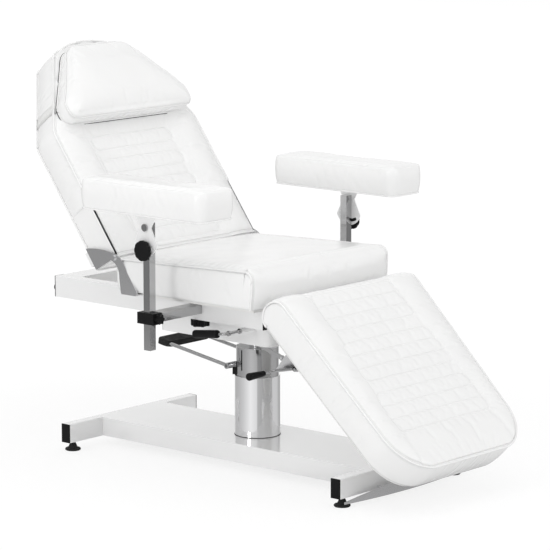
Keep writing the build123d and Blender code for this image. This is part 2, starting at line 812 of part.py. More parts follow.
def back_lug(side):
    """Steel lug round the back's lower corner, from its board to the pivot pin."""
    x0 = min(side * lug_in, side * lug_out)
    with BuildSketch(Plane(origin=back_plane.from_local_coords((x0, 0, 0)), x_dir=back_plane.y_dir,
                           z_dir=(1, 0, 0))) as outline:
        with BuildLine():
            Polyline((0, -lug_eye), (lug_run, back_under + lug_run / 2), (lug_run, lug_floor),
                     (lug_start, lug_floor), (lug_start, back_under), (-lug_eye / 3, -lug_eye / 3),
                     (0, -lug_eye))
        make_face()
        Circle(lug_eye)
    add(extrude(outline.sketch, amount=lug_thick, mode=Mode.PRIVATE))
    with BuildSketch(back_plane.offset(lug_floor)) as foot_plate:
        x_in = pad_wide_half - 3 * board_inset
        with Locations((side * (x_in + lug_out) / 2, (lug_start + lug_run) / 2)):
            Rectangle(lug_out - x_in, lug_run - lug_start)
    add(extrude(foot_plate.sketch, amount=lug_thick, dir=back_plane.z_dir, mode=Mode.PRIVATE))
    rod_x(side * lug_in, side * lug_out, back_pivot_y, back_pivot_z, hinge_pin_r + pin_gap,
          Mode.SUBTRACT)


def cheek(plane, x0, thick, pin_u, pin_n, floor_n, eye_r):
    """One upright ear, from a plate's floor to the eye of its pin."""
    with BuildSketch(Plane(origin=plane.from_local_coords((x0, 0, 0)), x_dir=plane.y_dir,
                           z_dir=(1, 0, 0))) as outline:
        with BuildLine():
            Polyline((pin_u - 2 * eye_r, floor_n), (pin_u - eye_r, pin_n), (pin_u + eye_r, pin_n),
                     (pin_u + 2 * eye_r, floor_n), (pin_u - 2 * eye_r, floor_n))
        make_face()
        with Locations((pin_u, pin_n)):
            Circle(eye_r)
    return extrude(outline.sketch, amount=thick, mode=Mode.PRIVATE)


stay_pin_back = back_plane.from_local_coords((0, back_stay_u, back_stay_n))
clevis_in = stay_thick / 2 + run_gap
clevis_out = clevis_in + clevis_thick
with BuildPart() as back_brackets:
    back_lug(-1)
    back_lug(1)
    add(cheek(back_plane, clevis_in, clevis_thick, back_stay_u, back_stay_n, lug_floor + lug_thick,
              stay_eye_r))
    add(cheek(back_plane, -clevis_out, clevis_thick, back_stay_u, back_stay_n,
              lug_floor + lug_thick, stay_eye_r))
    with BuildSketch(back_plane.offset(lug_floor)) as clevis_foot:
        with Locations((0, back_stay_u)):
            Rectangle(clevis_foot_wide, clevis_foot_long)
    add(extrude(clevis_foot.sketch, amount=lug_thick, dir=back_plane.z_dir, mode=Mode.PRIVATE))
    rod_x(-clevis_out - lug_thick, clevis_out + lug_thick, stay_pin_back.Y, stay_pin_back.Z, stay_pin_r)


def stay(x0, pin, guide, long):
    """A flat bar with an eye at its pin, laid towards the guide that it slides in."""
    lean = degrees(atan2(guide[1] - pin[1], guide[0] - pin[0]))
    with BuildSketch(Plane.YZ.offset(x0)) as outline:
        with Locations(Location((pin[0], pin[1], 0), (0, 0, lean))):
            with Locations((long / 2, 0)):
                Rectangle(long, stay_tall)
            Circle(stay_eye_r)
            Circle(stay_pin_r + pin_gap, mode=Mode.SUBTRACT)
    return extrude(outline.sketch, amount=stay_thick, mode=Mode.PRIVATE)


with BuildPart() as back_stay:
    add(stay(-stay_thick / 2, (stay_pin_back.Y, stay_pin_back.Z), (back_guide_y, back_guide_z),
             back_stay_long))

# head pillow
pillow_outline = head_outline(
    pillow_half, pillow_low, pillow_low + pillow_start, pillow_crown_half, pillow_high,
    pillow_high + pillow_bow, pillow_corner, pillow_shoulder_r, pillow_crown_r,
)
with BuildPart() as head_pillow:
    with BuildSketch(back_plane.offset(back_front + run_gap)) as plan:
        add(pillow_outline)
    extrude(amount=pillow_thick)
    fillet(head_pillow.faces().sort_by(Axis(back_plane.origin, back_dir))[-1].edges(),
           radius=pillow_front_r)
    fillet(head_pillow.faces().sort_by(Axis(back_plane.origin, back_dir))[0].edges(),
           radius=pillow_rear_r)

strap_low = strap_u - strap_wide / 2
side_draw = (pad_wide_half - back_crown_half) / (back_crown - back_shoulder)
strap_half = pad_wide_half - (strap_low - back_shoulder) * side_draw + strap_clear + strap_thick
strap_floor = back_under - back_board_thick - strap_clear - strap_thick
with BuildPart() as pillow_strap:
    with BuildSketch(Plane(origin=back_plane.from_local_coords((0, strap_low, 0)),
                           x_dir=(1, 0, 0), z_dir=back_plane.y_dir)) as band:
        with BuildLine() as hoop:
            FilletPolyline(
                (-strap_half, -back_front), (-strap_half, -strap_floor), (strap_half, -strap_floor),
                (strap_half, -back_front), radius=strap_round,
            )
            offset(amount=strap_thick, side=Side.RIGHT)
        make_face()
    extrude(amount=strap_wide)

# leg rest
leg_face = leg_nose_n + leg_nose_r
leg_under = leg_nose_n - leg_nose_r
leg_side = Plane(origin=leg_plane.origin, x_dir=leg_plane.y_dir, z_dir=(1, 0, 0))


def leg_outline(inset, top):
    """The leg rest seen square on: sides that draw in, and rounded lower corners."""
    half = pad_wide_half - inset
    end_half = leg_end_half - inset
    with BuildSketch() as plan:
        with BuildLine():
            Polyline((-half, top), (half, top), (end_half, -leg_end + inset),
                     (-end_half, -leg_end + inset), (-half, top))
        make_face()
        fillet(plan.vertices().group_by(Axis.Y)[0], radius=leg_corner - inset)
    return plan.sketch


leg_pad_outline = leg_outline(0, leg_nose_y + leg_nose_r)
leg_board_outline = leg_outline(board_inset, leg_nose_y)
def sewn_half(along):
    """Half the width of the sewn area at a place along the leg rest."""
    share = (leg_sewn_top - along) / (leg_sewn_top + leg_sewn_end)
    return leg_sewn_half + (leg_sewn_end_half - leg_sewn_half) * share


def sewn_box(top):
    """Sewn lines of one rounded box with its cross lines, cut into the leg rest's face."""
    low = top - leg_box_lines * leg_channel_pitch
    with BuildSketch(leg_plane.offset(leg_face - channel_deep)) as lines:
        with BuildSketch(mode=Mode.PRIVATE) as field:
            with BuildLine():
                Polyline((-sewn_half(top), top), (sewn_half(top), top), (sewn_half(low), low),
                         (-sewn_half(low), low), (-sewn_half(top), top))
            make_face()
            fillet(field.vertices(), radius=leg_sewn_corner)
        add(field.sketch)
        add(offset(field.sketch, amount=-channel_wide, mode=Mode.PRIVATE), mode=Mode.SUBTRACT)
        for step in range(1, leg_box_lines):
            at = top - step * leg_channel_pitch
            with Locations((0, at)):
                Rectangle(2 * sewn_half(at) - channel_wide, channel_wide)
    return extrude(lines.sketch, amount=4 * channel_deep, dir=leg_dir, mode=Mode.PRIVATE)


with BuildPart() as leg_pad:
    with BuildSketch(leg_plane.offset(leg_under)) as plan:
        add(leg_pad_outline)
    extrude(amount=leg_face - leg_under)
    with BuildSketch(leg_side.offset(-pad_wide_half)) as side_view:
        with BuildLine():
            Line((leg_nose_y, leg_face), (-leg_end, leg_face))
            Line((-leg_end, leg_face), (-leg_end, leg_under))
            Line((-leg_end, leg_under), (leg_nose_y, leg_under))
            ThreePointArc((leg_nose_y, leg_under), (leg_nose_y + leg_nose_r, leg_nose_n),
                          (leg_nose_y, leg_face))
        make_face()
    extrude(amount=2 * pad_wide_half, mode=Mode.INTERSECT)
    rim = leg_pad.faces().sort_by(Axis(leg_plane.origin, leg_dir))[-1].edges()
    fillet(rim.filter_by(Axis.X, reverse=True) + rim.sort_by(Axis.Y)[:1], radius=leg_edge_r)
    for box in range(leg_box_count):
        top = leg_sewn_top - box * (leg_box_lines + 1) * leg_channel_pitch
        add(sewn_box(top), mode=Mode.SUBTRACT)

leg_board_low = leg_under - run_gap - leg_board_thick
with BuildPart() as leg_board:
    with BuildSketch(leg_plane.offset(leg_board_low)) as plan:
        add(leg_board_outline)
    extrude(amount=leg_board_thick + run_gap)

stay_pin_leg = leg_plane.from_local_coords((0, leg_stay_ly, leg_stay_ln))
leg_lever_end_y = leg_lever_y + leg_lever_arm * cos(radians(leg_lever_dip))
leg_lever_end_z = leg_lever_z - leg_lever_arm * sin(radians(leg_lever_dip))
leg_lug_out = rail_in - leg_lug - run_gap
leg_lug_in = leg_lug_out - leg_lug_plate
with BuildPart() as leg_brackets:
    for side in (-1, 1):
        x0 = min(side * leg_lug_in, side * leg_lug_out)
        with BuildSketch(leg_side.offset(x0)) as outline:
            with BuildLine():
                Polyline((-leg_lug_eye, 0), (0, leg_lug_eye), (-leg_lug_neck, leg_board_low),
                         (-leg_lug_long, leg_board_low), (-leg_lug_long, leg_board_low - leg_lug_lip),
                         (-leg_lug_long / 2, leg_board_low - 2 * leg_lug_lip), (0, -leg_lug_eye),
                         (-leg_lug_eye, 0))
            make_face()
            Circle(leg_lug_eye)
            Circle(leg_pin_r + pin_gap, mode=Mode.SUBTRACT)
        add(extrude(outline.sketch, amount=leg_lug_plate, mode=Mode.PRIVATE))
    with BuildSketch(Plane.YZ.offset(-gusset_x - gusset_thick / 2)) as gusset:
        top = leg_plane.from_local_coords((0, -gusset_top, leg_board_low))
        low = leg_plane.from_local_coords((0, -gusset_low, leg_board_low))
        with BuildLine():
            Polyline((top.Y, top.Z), (low.Y, low.Z), (leg_lever_end_y, leg_lever_end_z), (top.Y, top.Z))
        make_face()
        fillet(gusset.vertices().sort_by(Axis.Y)[-1], radius=gusset_tip_r)
        with Locations((leg_lever_y, leg_lever_z)):
            Circle(leg_lug_eye)
    extrude(amount=gusset_thick)
    rod_x(-gusset_x, -gusset_x + gusset_thick / 2 + 2 * run_gap + stay_thick + lug_thick,
          stay_pin_leg.Y, stay_pin_leg.Z, stay_pin_r)
    rod_x(-gusset_x - leg_lever_step - lever_rod_r, -gusset_x, leg_lever_y, leg_lever_z, stay_pin_r)

with BuildPart() as leg_stay:
    add(stay(-gusset_x + gusset_thick / 2 + run_gap, (stay_pin_leg.Y, stay_pin_leg.Z),
             (leg_guide_y, leg_guide_z), leg_stay_long))

lever_arm_x = -gusset_x - leg_lever_step
with BuildPart() as leg_lever:
    with BuildLine() as bent:
        FilletPolyline(
            (lever_arm_x, leg_lever_y, leg_lever_z), (lever_arm_x, leg_lever_end_y, leg_lever_end_z),
            (-leg_grip_in - leg_grip_big, leg_lever_end_y, leg_lever_end_z), radius=leg_lever_bend,
        )
    with BuildSketch(Plane(origin=bent.line @ 0, z_dir=bent.line % 0)) as section:
        Circle(leg_rod_r)
    sweep(section.sketch, path=bent.line)
    rod_x(lever_arm_x - leg_rod_r, lever_arm_x + leg_rod_r, leg_lever_y, leg_lever_z, leg_lever_hub_r)
    rod_x(lever_arm_x - leg_rod_r, lever_arm_x + leg_rod_r, leg_lever_y, leg_lever_z,
          stay_pin_r + pin_gap, Mode.SUBTRACT)

# leg rest lever: the grip is a taper pushed over the rod's end
with BuildPart() as leg_lever_grip:
    with BuildSketch(Plane(origin=(-leg_grip_in, leg_lever_end_y, leg_lever_end_z),
                           x_dir=(0, 1, 0), z_dir=(-1, 0, 0))) as grip_root:
        Circle(leg_grip_small)
    with BuildSketch(Plane(origin=(-leg_grip_out, leg_lever_end_y, leg_lever_end_z),
                           x_dir=(0, 1, 0), z_dir=(-1, 0, 0))) as grip_tip:
        Circle(leg_grip_big)
    loft([grip_root.sketch.face(), grip_tip.sketch.face()])
    fillet(leg_lever_grip.edges().filter_by(GeomType.CIRCLE).group_by(Axis.X)[0], radius=leg_grip_big / 2)
    rod_x(-leg_grip_in - leg_grip_big, -leg_grip_in, leg_lever_end_y, leg_lever_end_z, leg_rod_r,
          Mode.SUBTRACT)

# hinge lugs on the front ends of the rails
with BuildPart() as frame_brackets:
    for side in (-1, 1):
        x0 = min(side * rail_in, side * (rail_in - leg_lug))
        with BuildSketch(Plane.YZ.offset(x0)) as outline:
            with BuildLine():
                Polyline((leg_pivot_y, leg_bracket_top), (leg_bracket_rear, leg_bracket_top),
                         (leg_bracket_rear, leg_bracket_low), (rail_front, leg_bracket_low),
                         (leg_pivot_y, leg_pivot_z - leg_lug_eye), (leg_pivot_y, leg_bracket_top))
            make_face()
            with Locations((leg_pivot_y, leg_pivot_z)):
                Circle(leg_lug_eye)
        add(extrude(outline.sketch, amount=leg_lug, mode=Mode.PRIVATE))
        rod_x(side * (leg_lug_in - leg_pin_head), side * (rail_in + leg_pin_head), leg_pivot_y,
              leg_pivot_z, leg_pin_r)
        rod_x(side * (leg_lug_in - run_gap - leg_pin_head), side * (leg_lug_in - run_gap),
              leg_pivot_y, leg_pivot_z, leg_lug_eye - sheet)

# back release lever
nut_near = -lever_guide_out - run_gap
lever_down = -sin(radians(lever_tilt))
lever_along = cos(radians(lever_tilt))
with BuildPart() as back_lever:
    with BuildLine() as bent:
        FilletPolyline(
            (-lever_inner, back_lever_y, back_lever_z), (lever_x, back_lever_y, back_lever_z),
            (lever_x, back_lever_y + (lever_grip_near + lever_grip_r) * lever_along,
             back_lever_z + (lever_grip_near + lever_grip_r) * lever_down), radius=lever_bend,
        )
    with BuildSketch(Plane(origin=bent.line @ 0, z_dir=bent.line % 0)) as section:
        Circle(lever_rod_r)
    sweep(section.sketch, path=bent.line)
    rod_x(nut_near - lever_nut, nut_near, back_lever_y, back_lever_z, lever_nut_r)
    rod_x(lever_x + lever_bend, lever_x + lever_bend + lever_nut, back_lever_y, back_lever_z, lever_nut_r)
    rod_x(-lever_inner - lever_nut, -lever_inner, back_lever_y, back_lever_z, lever_nut_r)

grip_plane = Plane(
    origin=(lever_x, back_lever_y + lever_grip_near * lever_along,
            back_lever_z + lever_grip_near * lever_down),
    x_dir=(1, 0, 0), z_dir=(0, lever_along, lever_down),
)
with BuildPart() as back_lever_grip:
    with BuildSketch(grip_plane):
        Circle(lever_grip_r)
    extrude(amount=lever_grip_far - lever_grip_near)
    fillet(back_lever_grip.edges().filter_by(GeomType.CIRCLE), radius=lever_grip_r / 4)
    with BuildSketch(grip_plane):
        Circle(lever_rod_r)
    extrude(amount=lever_grip_r, mode=Mode.SUBTRACT)

# bolts between the ram's flange and the mounting box
with BuildPart() as column_bolts:
    with PolarLocations(column_bolt_ring, 4, start_angle=45):
        with Locations((0, 0, box_low + wall - (flange_thick + wall) / 2)):
            Cylinder(column_bolt_r, flange_thick + wall)
        with Locations((0, 0, box_low + wall + column_bolt_head / 2)):
            Cylinder(column_bolt_head_r, column_bolt_head)


# armrests
def star(radius, tall, lobes, share):
    """A lobed clamping knob, standing on the XY plane of its own frame."""
    ring = radius * (1 - share)
    with BuildSketch() as plan:
        Circle(ring)
        with PolarLocations(ring, lobes):
            Circle(radius * share)
    knob = extrude(plan.sketch, amount=tall, mode=Mode.PRIVATE)
    return knob.chamfer(tall / 10, None, knob.faces().sort_by(Axis.Z)[-1].edges())


def arm_tube(side, out, down):
    """The cross tube that slides in the frame rails."""
    x0 = min(side * (arm_inner + out), side * (arm_post_x - block_half + out))
    x1 = max(side * (arm_inner + out), side * (arm_post_x - block_half + out))
    deep = arm_tube_deep / 2
    tall = arm_tube_tall / 2
    block(x0, x1, arm_y - deep, arm_y + deep, arm_z - tall, arm_z + tall)
    block(x0, x1, arm_y - deep + wall, arm_y + deep - wall, arm_z - tall + wall, arm_z + tall - wall,
          Mode.SUBTRACT)


def arm_block(side, out):
    """The black block that grips the post, bored for it and for its clamping screw."""
    x = side * (arm_post_x + out)
    half = post_side / 2 + run_gap
    block(x - block_half, x + block_half, arm_y - block_deep / 2, arm_y + block_deep / 2,
          arm_z - block_tall / 2, arm_z + block_tall / 2)
    block(x - half, x + half, arm_y - half, arm_y + half, arm_z - block_tall, arm_z + block_tall,
          Mode.SUBTRACT)
    rod_y(x, arm_y - block_deep, arm_y, arm_z, block_screw_r + pin_gap, Mode.SUBTRACT)


def arm_post(side, out, down):
    """Square post with closed ends, the pivot bolt of the pad and the stud of its clamp."""
    x = side * (arm_post_x + out)
    half = post_side / 2
    block(x - half, x + half, arm_y - half, arm_y + half, post_low - down, post_high - down)
    block(x - half + wall, x + half - wall, arm_y - half + wall, arm_y + half - wall,
          post_low - down + cap_thick, post_high - down - cap_thick, Mode.SUBTRACT)
    plate_out = post_side / 2 + run_gap + plate_thick
    pivot = arm_pivot_z - down
    rod_x(x, x + side * (plate_out + run_gap + bolt_head), arm_y, pivot, pivot_bolt_r)
    rod_x(x + side * (plate_out + run_gap), x + side * (plate_out + run_gap + bolt_head), arm_y, pivot,
          neck_half / 2)
    rod_x(x, x + side * (plate_out + stud_long), arm_y, pivot - lobe_ring, stud_r)


def arc_slot(y, z):
    """Edges of the clamp's arc slot, below a pivot, for the line builder that is open."""
    def at(radius, turn):
        return (y + radius * sin(radians(turn)), z - radius * cos(radians(turn)))

    outer = lobe_ring + slot_half
    inner = lobe_ring - slot_half
    past = tilt_swing + degrees(slot_half / lobe_ring)
    ThreePointArc(at(outer, -tilt_swing), at(outer, 0), at(outer, tilt_swing))
    ThreePointArc(at(outer, tilt_swing), at(lobe_ring, past), at(inner, tilt_swing))
    ThreePointArc(at(inner, tilt_swing), at(inner, 0), at(inner, -tilt_swing))
    ThreePointArc(at(inner, -tilt_swing), at(lobe_ring, -past), at(outer, -tilt_swing))


def arm_plate(side, out, down):
    """Tilt plate: a neck under the pad, the pivot hole and an arc slot for the clamp."""
    inner = arm_post_x + out + post_side / 2 + run_gap
    x0 = min(side * inner, side * (inner + plate_thick))
    pivot = arm_pivot_z - down
    top = rest_low - down
    with BuildSketch(Plane.YZ.offset(x0)) as outline:
        with BuildLine():
            Polyline((arm_y - neck_half, pivot), (arm_y - flange_half, top), (arm_y + flange_half, top),
                     (arm_y + neck_half, pivot))
            Line((arm_y + neck_half, pivot), (arm_y + lobe_half, pivot - lobe_shoulder))
            ThreePointArc((arm_y + lobe_half, pivot - lobe_shoulder), (arm_y, pivot - lobe_low),
                          (arm_y - lobe_half, pivot - lobe_shoulder))
            Line((arm_y - lobe_half, pivot - lobe_shoulder), (arm_y - neck_half, pivot))
        make_face()
        with Locations((arm_y, pivot)):
            Circle(pivot_bolt_r + pin_gap, mode=Mode.SUBTRACT)
        with BuildLine(mode=Mode.PRIVATE) as slot:
            arc_slot(arm_y, pivot)
        make_face(slot.edges(), mode=Mode.SUBTRACT)
    add(extrude(outline.sketch, amount=plate_thick, mode=Mode.PRIVATE))
    flange_in = side * (inner - flange_reach)
    block(min(flange_in, side * inner), max(flange_in, side * inner), arm_y - flange_half,
          arm_y + flange_half, top - plate_thick, top)


def arm_pad(side, out, down):
    """Cushion of the armrest: rounded all round, with a shallow dish along its top."""
    x = side * (arm_post_x + out - rest_inset)
    low = rest_low - down
    high = rest_high - down
    mid_y = (rest_front + rest_rear) / 2
    with BuildSketch(Plane.XY.offset(low)) as plan:
        with Locations((x, mid_y)):
            RectangleRounded(2 * rest_half, rest_rear - rest_front, rest_corner)
    body = extrude(plan.sketch, amount=high - low, mode=Mode.PRIVATE)
    body = body.fillet(rest_top_r, body.faces().sort_by(Axis.Z)[-1].edges())
    body = body.fillet(rest_low_r, body.faces().sort_by(Axis.Z)[0].edges())
    add(body)
    dish_half = rest_half - rest_top_r
    dish_r = (dish_half ** 2 + rest_dish ** 2) / (2 * rest_dish)
    rod_y(x, rest_front + rest_corner, rest_rear - rest_corner, high - rest_dish + dish_r, dish_r,
          Mode.SUBTRACT)


def tilt_knob(side, out, down):
    """Star knob on the stud that clamps the tilt plate."""
    x = side * (arm_post_x + out + post_side / 2 + 2 * run_gap + plate_thick)
    knob = star(star_knob_r, star_knob_tall, star_lobes, star_share)
    add(knob.moved(Location(Plane(origin=(x, arm_y, arm_pivot_z - down - lobe_ring),
                                  x_dir=(0, 1, 0), z_dir=(side, 0, 0)))))
    rod_x(x, x + side * (star_knob_tall - sheet), arm_y, arm_pivot_z - down - lobe_ring,
          stud_r + pin_gap, Mode.SUBTRACT)


def block_knob(side, out):
    """Small screw knob on the block, its screw reaching to the post."""
    x = side * (arm_post_x + out)
    front = arm_y - block_deep / 2 - run_gap
    knob = star(block_knob_r, block_knob_tall, knob_lobes, star_share)
    add(knob.moved(Location(Plane(origin=(x, front, arm_z), x_dir=(1, 0, 0), z_dir=(0, -1, 0)))))
    rod_y(x, front, arm_y - post_side / 2 - run_gap, arm_z, block_screw_r)


def rail_knob(side):
    """Clamping knob under the rail, its screw reaching to the armrest tube."""
    x = side * (rail_in + rail_out) / 2
    top = rail_low - clamp_knob_gap
    knob = star(clamp_knob_r, clamp_knob_tall, knob_lobes, star_share)
    add(knob.moved(Location(Plane(origin=(x, arm_y, top), x_dir=(1, 0, 0), z_dir=(0, 0, -1)))))
    rod_z(x, arm_y, top, arm_z - arm_tube_tall / 2 - run_gap, clamp_screw_r)


with BuildPart() as arm_tube_left:
    arm_tube(-1, 0, 0)
with BuildPart() as arm_tube_right:
    arm_tube(1, far_out, far_down)
with BuildPart() as arm_block_left:
    arm_block(-1, 0)
with BuildPart() as arm_block_right:
    arm_block(1, far_out)
with BuildPart() as arm_post_left:
    arm_post(-1, 0, 0)
with BuildPart() as arm_post_right:
    arm_post(1, far_out, far_down)
with BuildPart() as arm_plate_left:
    arm_plate(-1, 0, 0)
with BuildPart() as arm_plate_right:
    arm_plate(1, far_out, far_down)
with BuildPart() as arm_pad_left:
    arm_pad(-1, 0, 0)
with BuildPart() as arm_pad_right:
    arm_pad(1, far_out, far_down)
with BuildPart() as tilt_knob_left:
    tilt_knob(-1, 0, 0)
with BuildPart() as tilt_knob_right:
    tilt_knob(1, far_out, far_down)
with BuildPart() as block_knob_left:
    block_knob(-1, 0)
with BuildPart() as block_knob_right:
    block_knob(1, far_out)
with BuildPart() as rail_knob_left:
    rail_knob(-1)
with BuildPart() as rail_knob_right:
    rail_knob(1)


# the origin moves to the floor under the middle of the whole chair
pieces = (
    base_cross_bars, base_beam, base_bar_caps, levelling_foot_1, levelling_foot_2, levelling_foot_3,
    levelling_foot_4, kick_plate, column_cover, column_sleeve, column_ring, pump_body, pump_bolts,
    column_ram, pedal_stops, pedal_bar, pedal_shaft, pedal_tread, frame_rail_left, frame_rail_right,
    frame_cross_tubes, rail_caps, rear_bumpers, mounting_box, seat_board, seat_pad, hinge_plates,
    hinge_pins, back_pad, back_board, back_brackets, back_stay, head_pillow, pillow_strap, leg_pad,
    leg_board, leg_brackets, leg_stay, leg_lever, leg_lever_grip, frame_brackets, back_lever,
    back_lever_grip, column_bolts, arm_tube_left, arm_tube_right, arm_block_left, arm_block_right,
    arm_post_left, arm_post_right, arm_plate_left, arm_plate_right, arm_pad_left, arm_pad_right,
    tilt_knob_left, tilt_knob_right, block_knob_left, block_knob_right, rail_knob_left,
    rail_knob_right,
)
names = (
    "base_cross_bars", "base_beam", "base_bar_caps", "levelling_foot_1", "levelling_foot_2",
    "levelling_foot_3", "levelling_foot_4", "kick_plate", "column_cover", "column_sleeve",
    "column_ring", "pump_body", "pump_bolts", "column_ram", "pedal_stops", "pedal_bar",
    "pedal_shaft", "pedal_tread", "frame_rail_left", "frame_rail_right", "frame_cross_tubes",
    "rail_caps", "rear_bumpers", "mounting_box", "seat_board", "seat_pad", "hinge_plates",
    "hinge_pins", "back_pad", "back_board", "back_brackets", "back_stay", "head_pillow",
    "pillow_strap", "leg_pad", "leg_board", "leg_brackets", "leg_stay", "leg_lever",
    "leg_lever_grip", "frame_brackets", "back_lever", "back_lever_grip", "column_bolts",
    "arm_tube_left", "arm_tube_right", "arm_block_left", "arm_block_right", "arm_post_left",
    "arm_post_right", "arm_plate_left", "arm_plate_right", "arm_pad_left", "arm_pad_right",
    "tilt_knob_left", "tilt_knob_right", "block_knob_left", "block_knob_right", "rail_knob_left",
    "rail_knob_right",
)
boxes = [piece.part.bounding_box() for piece in pieces]
middle_x = (min(box.min.X for box in boxes) + max(box.max.X for box in boxes)) / 2
middle_y = (min(box.min.Y for box in boxes) + max(box.max.Y for box in boxes)) / 2
to_middle = Location((-middle_x, -middle_y, 0))
for name, piece in zip(names, pieces):
    placed = piece.part.moved(to_middle)
    placed.label = name
    export_step(placed, f"parts/{name}.step")
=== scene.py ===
"""Tattoo chair: upholstery, finishes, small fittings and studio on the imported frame. Metres."""
import json
from math import cos, hypot, pi, radians, sin

import bpy
import numpy as np
from mathutils import Matrix, Vector, noise
from mathutils.bvhtree import BVHTree


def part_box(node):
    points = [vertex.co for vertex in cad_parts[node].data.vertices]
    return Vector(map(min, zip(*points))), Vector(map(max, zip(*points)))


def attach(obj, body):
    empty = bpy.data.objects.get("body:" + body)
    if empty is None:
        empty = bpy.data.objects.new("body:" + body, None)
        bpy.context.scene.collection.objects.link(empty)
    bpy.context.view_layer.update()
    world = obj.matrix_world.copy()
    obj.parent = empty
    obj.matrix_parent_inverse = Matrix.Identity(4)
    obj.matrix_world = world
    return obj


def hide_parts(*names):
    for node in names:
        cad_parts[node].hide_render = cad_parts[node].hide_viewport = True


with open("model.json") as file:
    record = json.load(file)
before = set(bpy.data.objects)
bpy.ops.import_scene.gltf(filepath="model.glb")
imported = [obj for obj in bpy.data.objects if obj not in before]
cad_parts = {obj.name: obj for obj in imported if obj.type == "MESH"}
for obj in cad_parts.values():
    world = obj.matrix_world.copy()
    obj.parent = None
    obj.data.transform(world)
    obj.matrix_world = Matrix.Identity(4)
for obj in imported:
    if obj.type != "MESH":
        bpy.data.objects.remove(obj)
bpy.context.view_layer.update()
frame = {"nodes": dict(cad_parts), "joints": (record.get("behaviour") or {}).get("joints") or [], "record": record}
mm = 0.001

# places read from the frame
joints = {joint["name"]: joint for joint in frame["joints"]}
cover_low, cover_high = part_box("column_cover")
column_x = (cover_low.x + cover_high.x) / 2
column_y = (cover_low.y + cover_high.y) / 2
back_lean = radians(joints["back_recline"]["range_deg"][1])
leg_drop = radians(joints["leg_raise"]["range_deg"][1])


def local_frame(origin, lean):
    """Matrix of a cushion's own axes: x across, y up along it, z out of its face."""
    along = Vector((0, cos(lean), sin(lean)))
    out = Vector((0, -sin(lean), cos(lean)))
    matrix = Matrix((Vector((1, 0, 0)), along, out)).transposed().to_4x4()
    matrix.translation = origin
    return matrix


def pivot_of(joint):
    """A joint's place, moved to the middle of the chair."""
    place = Vector(joints[joint]["pos_m"])
    return Vector((column_x, place.y, place.z))


back_frame = local_frame(pivot_of("back_recline"), back_lean)
leg_frame = local_frame(pivot_of("leg_raise"), leg_drop)


# materials
def new_material(name, color, roughness, metallic=0.0):
    """A principled material; returns it with its node tree and its shader."""
    material = bpy.data.materials.new(name)
    material.use_nodes = True
    shader = material.node_tree.nodes["Principled BSDF"]
    shader.inputs["Base Color"].default_value = (*color, 1)
    shader.inputs["Roughness"].default_value = roughness
    shader.inputs["Metallic"].default_value = metallic
    return material, material.node_tree, shader


def texture(tree, kind, scale, stretch=(1, 1, 1), **settings):
    """A procedural texture in the object's own metres."""
    place = tree.nodes.new("ShaderNodeTexCoord")
    mapping = tree.nodes.new("ShaderNodeMapping")
    mapping.inputs["Scale"].default_value = stretch
    tree.links.new(place.outputs["Object"], mapping.inputs["Vector"])
    node = tree.nodes.new(kind)
    node.inputs["Scale"].default_value = scale
    for key, value in settings.items():
        node.inputs[key].default_value = value
    tree.links.new(mapping.outputs["Vector"], node.inputs["Vector"])
    return node


def clouds(tree, scale, detail, stretch=(1, 1, 1)):
    """The factor of a noise texture."""
    return texture(tree, "ShaderNodeTexNoise", scale, stretch, Detail=detail).outputs["Fac"]


def add_bump(tree, shader, height, strength, distance, under=None):
    """Bump from a height output, over an earlier bump where one is given."""
    bump = tree.nodes.new("ShaderNodeBump")
    bump.inputs["Strength"].default_value = strength
    bump.inputs["Distance"].default_value = distance
    tree.links.new(height, bump.inputs["Height"])
    if under:
        tree.links.new(under.outputs["Normal"], bump.inputs["Normal"])
    tree.links.new(bump.outputs["Normal"], shader.inputs["Normal"])
    return bump


def spread(tree, factor, low, high, shader):
    """Map a 0 to 1 factor to a range and feed it to a shader's roughness."""
    node = tree.nodes.new("ShaderNodeMapRange")
    node.inputs["To Min"].default_value = low
    node.inputs["To Max"].default_value = high
    tree.links.new(factor, node.inputs["Value"])
    tree.links.new(node.outputs["Result"], shader.inputs["Roughness"])


def tint(tree, factor, color_a, color_b, shader):
    """Blend two colours by a factor and feed them to a shader's base colour."""
    node = tree.nodes.new("ShaderNodeMix")
    node.data_type = "RGBA"
    node.inputs["A"].default_value = (*color_a, 1)
    node.inputs["B"].default_value = (*color_b, 1)
    tree.links.new(factor, node.inputs["Factor"])
    tree.links.new(node.outputs["Result"], shader.inputs["Base Color"])


def vinyl():
    """Smooth white upholstery vinyl with a fine pebbled grain and a soft gloss."""
    material, tree, shader = new_material("white_vinyl", (0.885, 0.885, 0.88), 0.2)
    broad = clouds(tree, 7.0, 3.0)
    tint(tree, broad, (0.87, 0.87, 0.868), (0.9, 0.9, 0.896), shader)
    spread(tree, broad, 0.15, 0.27, shader)
    grain = texture(tree, "ShaderNodeTexVoronoi", 900.0, Randomness=1.0)
    first = add_bump(tree, shader, grain.outputs["Distance"], 0.1, 0.0002)
    pull = clouds(tree, 45.0, 4.0)
    add_bump(tree, shader, pull, 0.06, 0.0006, under=first)
    return material


def gloss_paint():
    """White powder coat: glossy, with a trace of orange peel."""
    material, tree, shader = new_material("white_paint", (0.89, 0.89, 0.89), 0.12)
    shader.inputs["Coat Weight"].default_value = 1.0
    shader.inputs["Coat Roughness"].default_value = 0.03
    peel = clouds(tree, 260.0, 2.0)
    add_bump(tree, shader, peel, 0.04, 0.0002)
    dust = clouds(tree, 9.0, 5.0)
    spread(tree, dust, 0.09, 0.2, shader)
    return material


def chrome():
    """Bright chrome with faint handling marks."""
    material, tree, shader = new_material("chrome", (0.86, 0.86, 0.87), 0.06, 1.0)
    smear = clouds(tree, 22.0, 6.0)
    spread(tree, smear, 0.03, 0.11, shader)
    return material


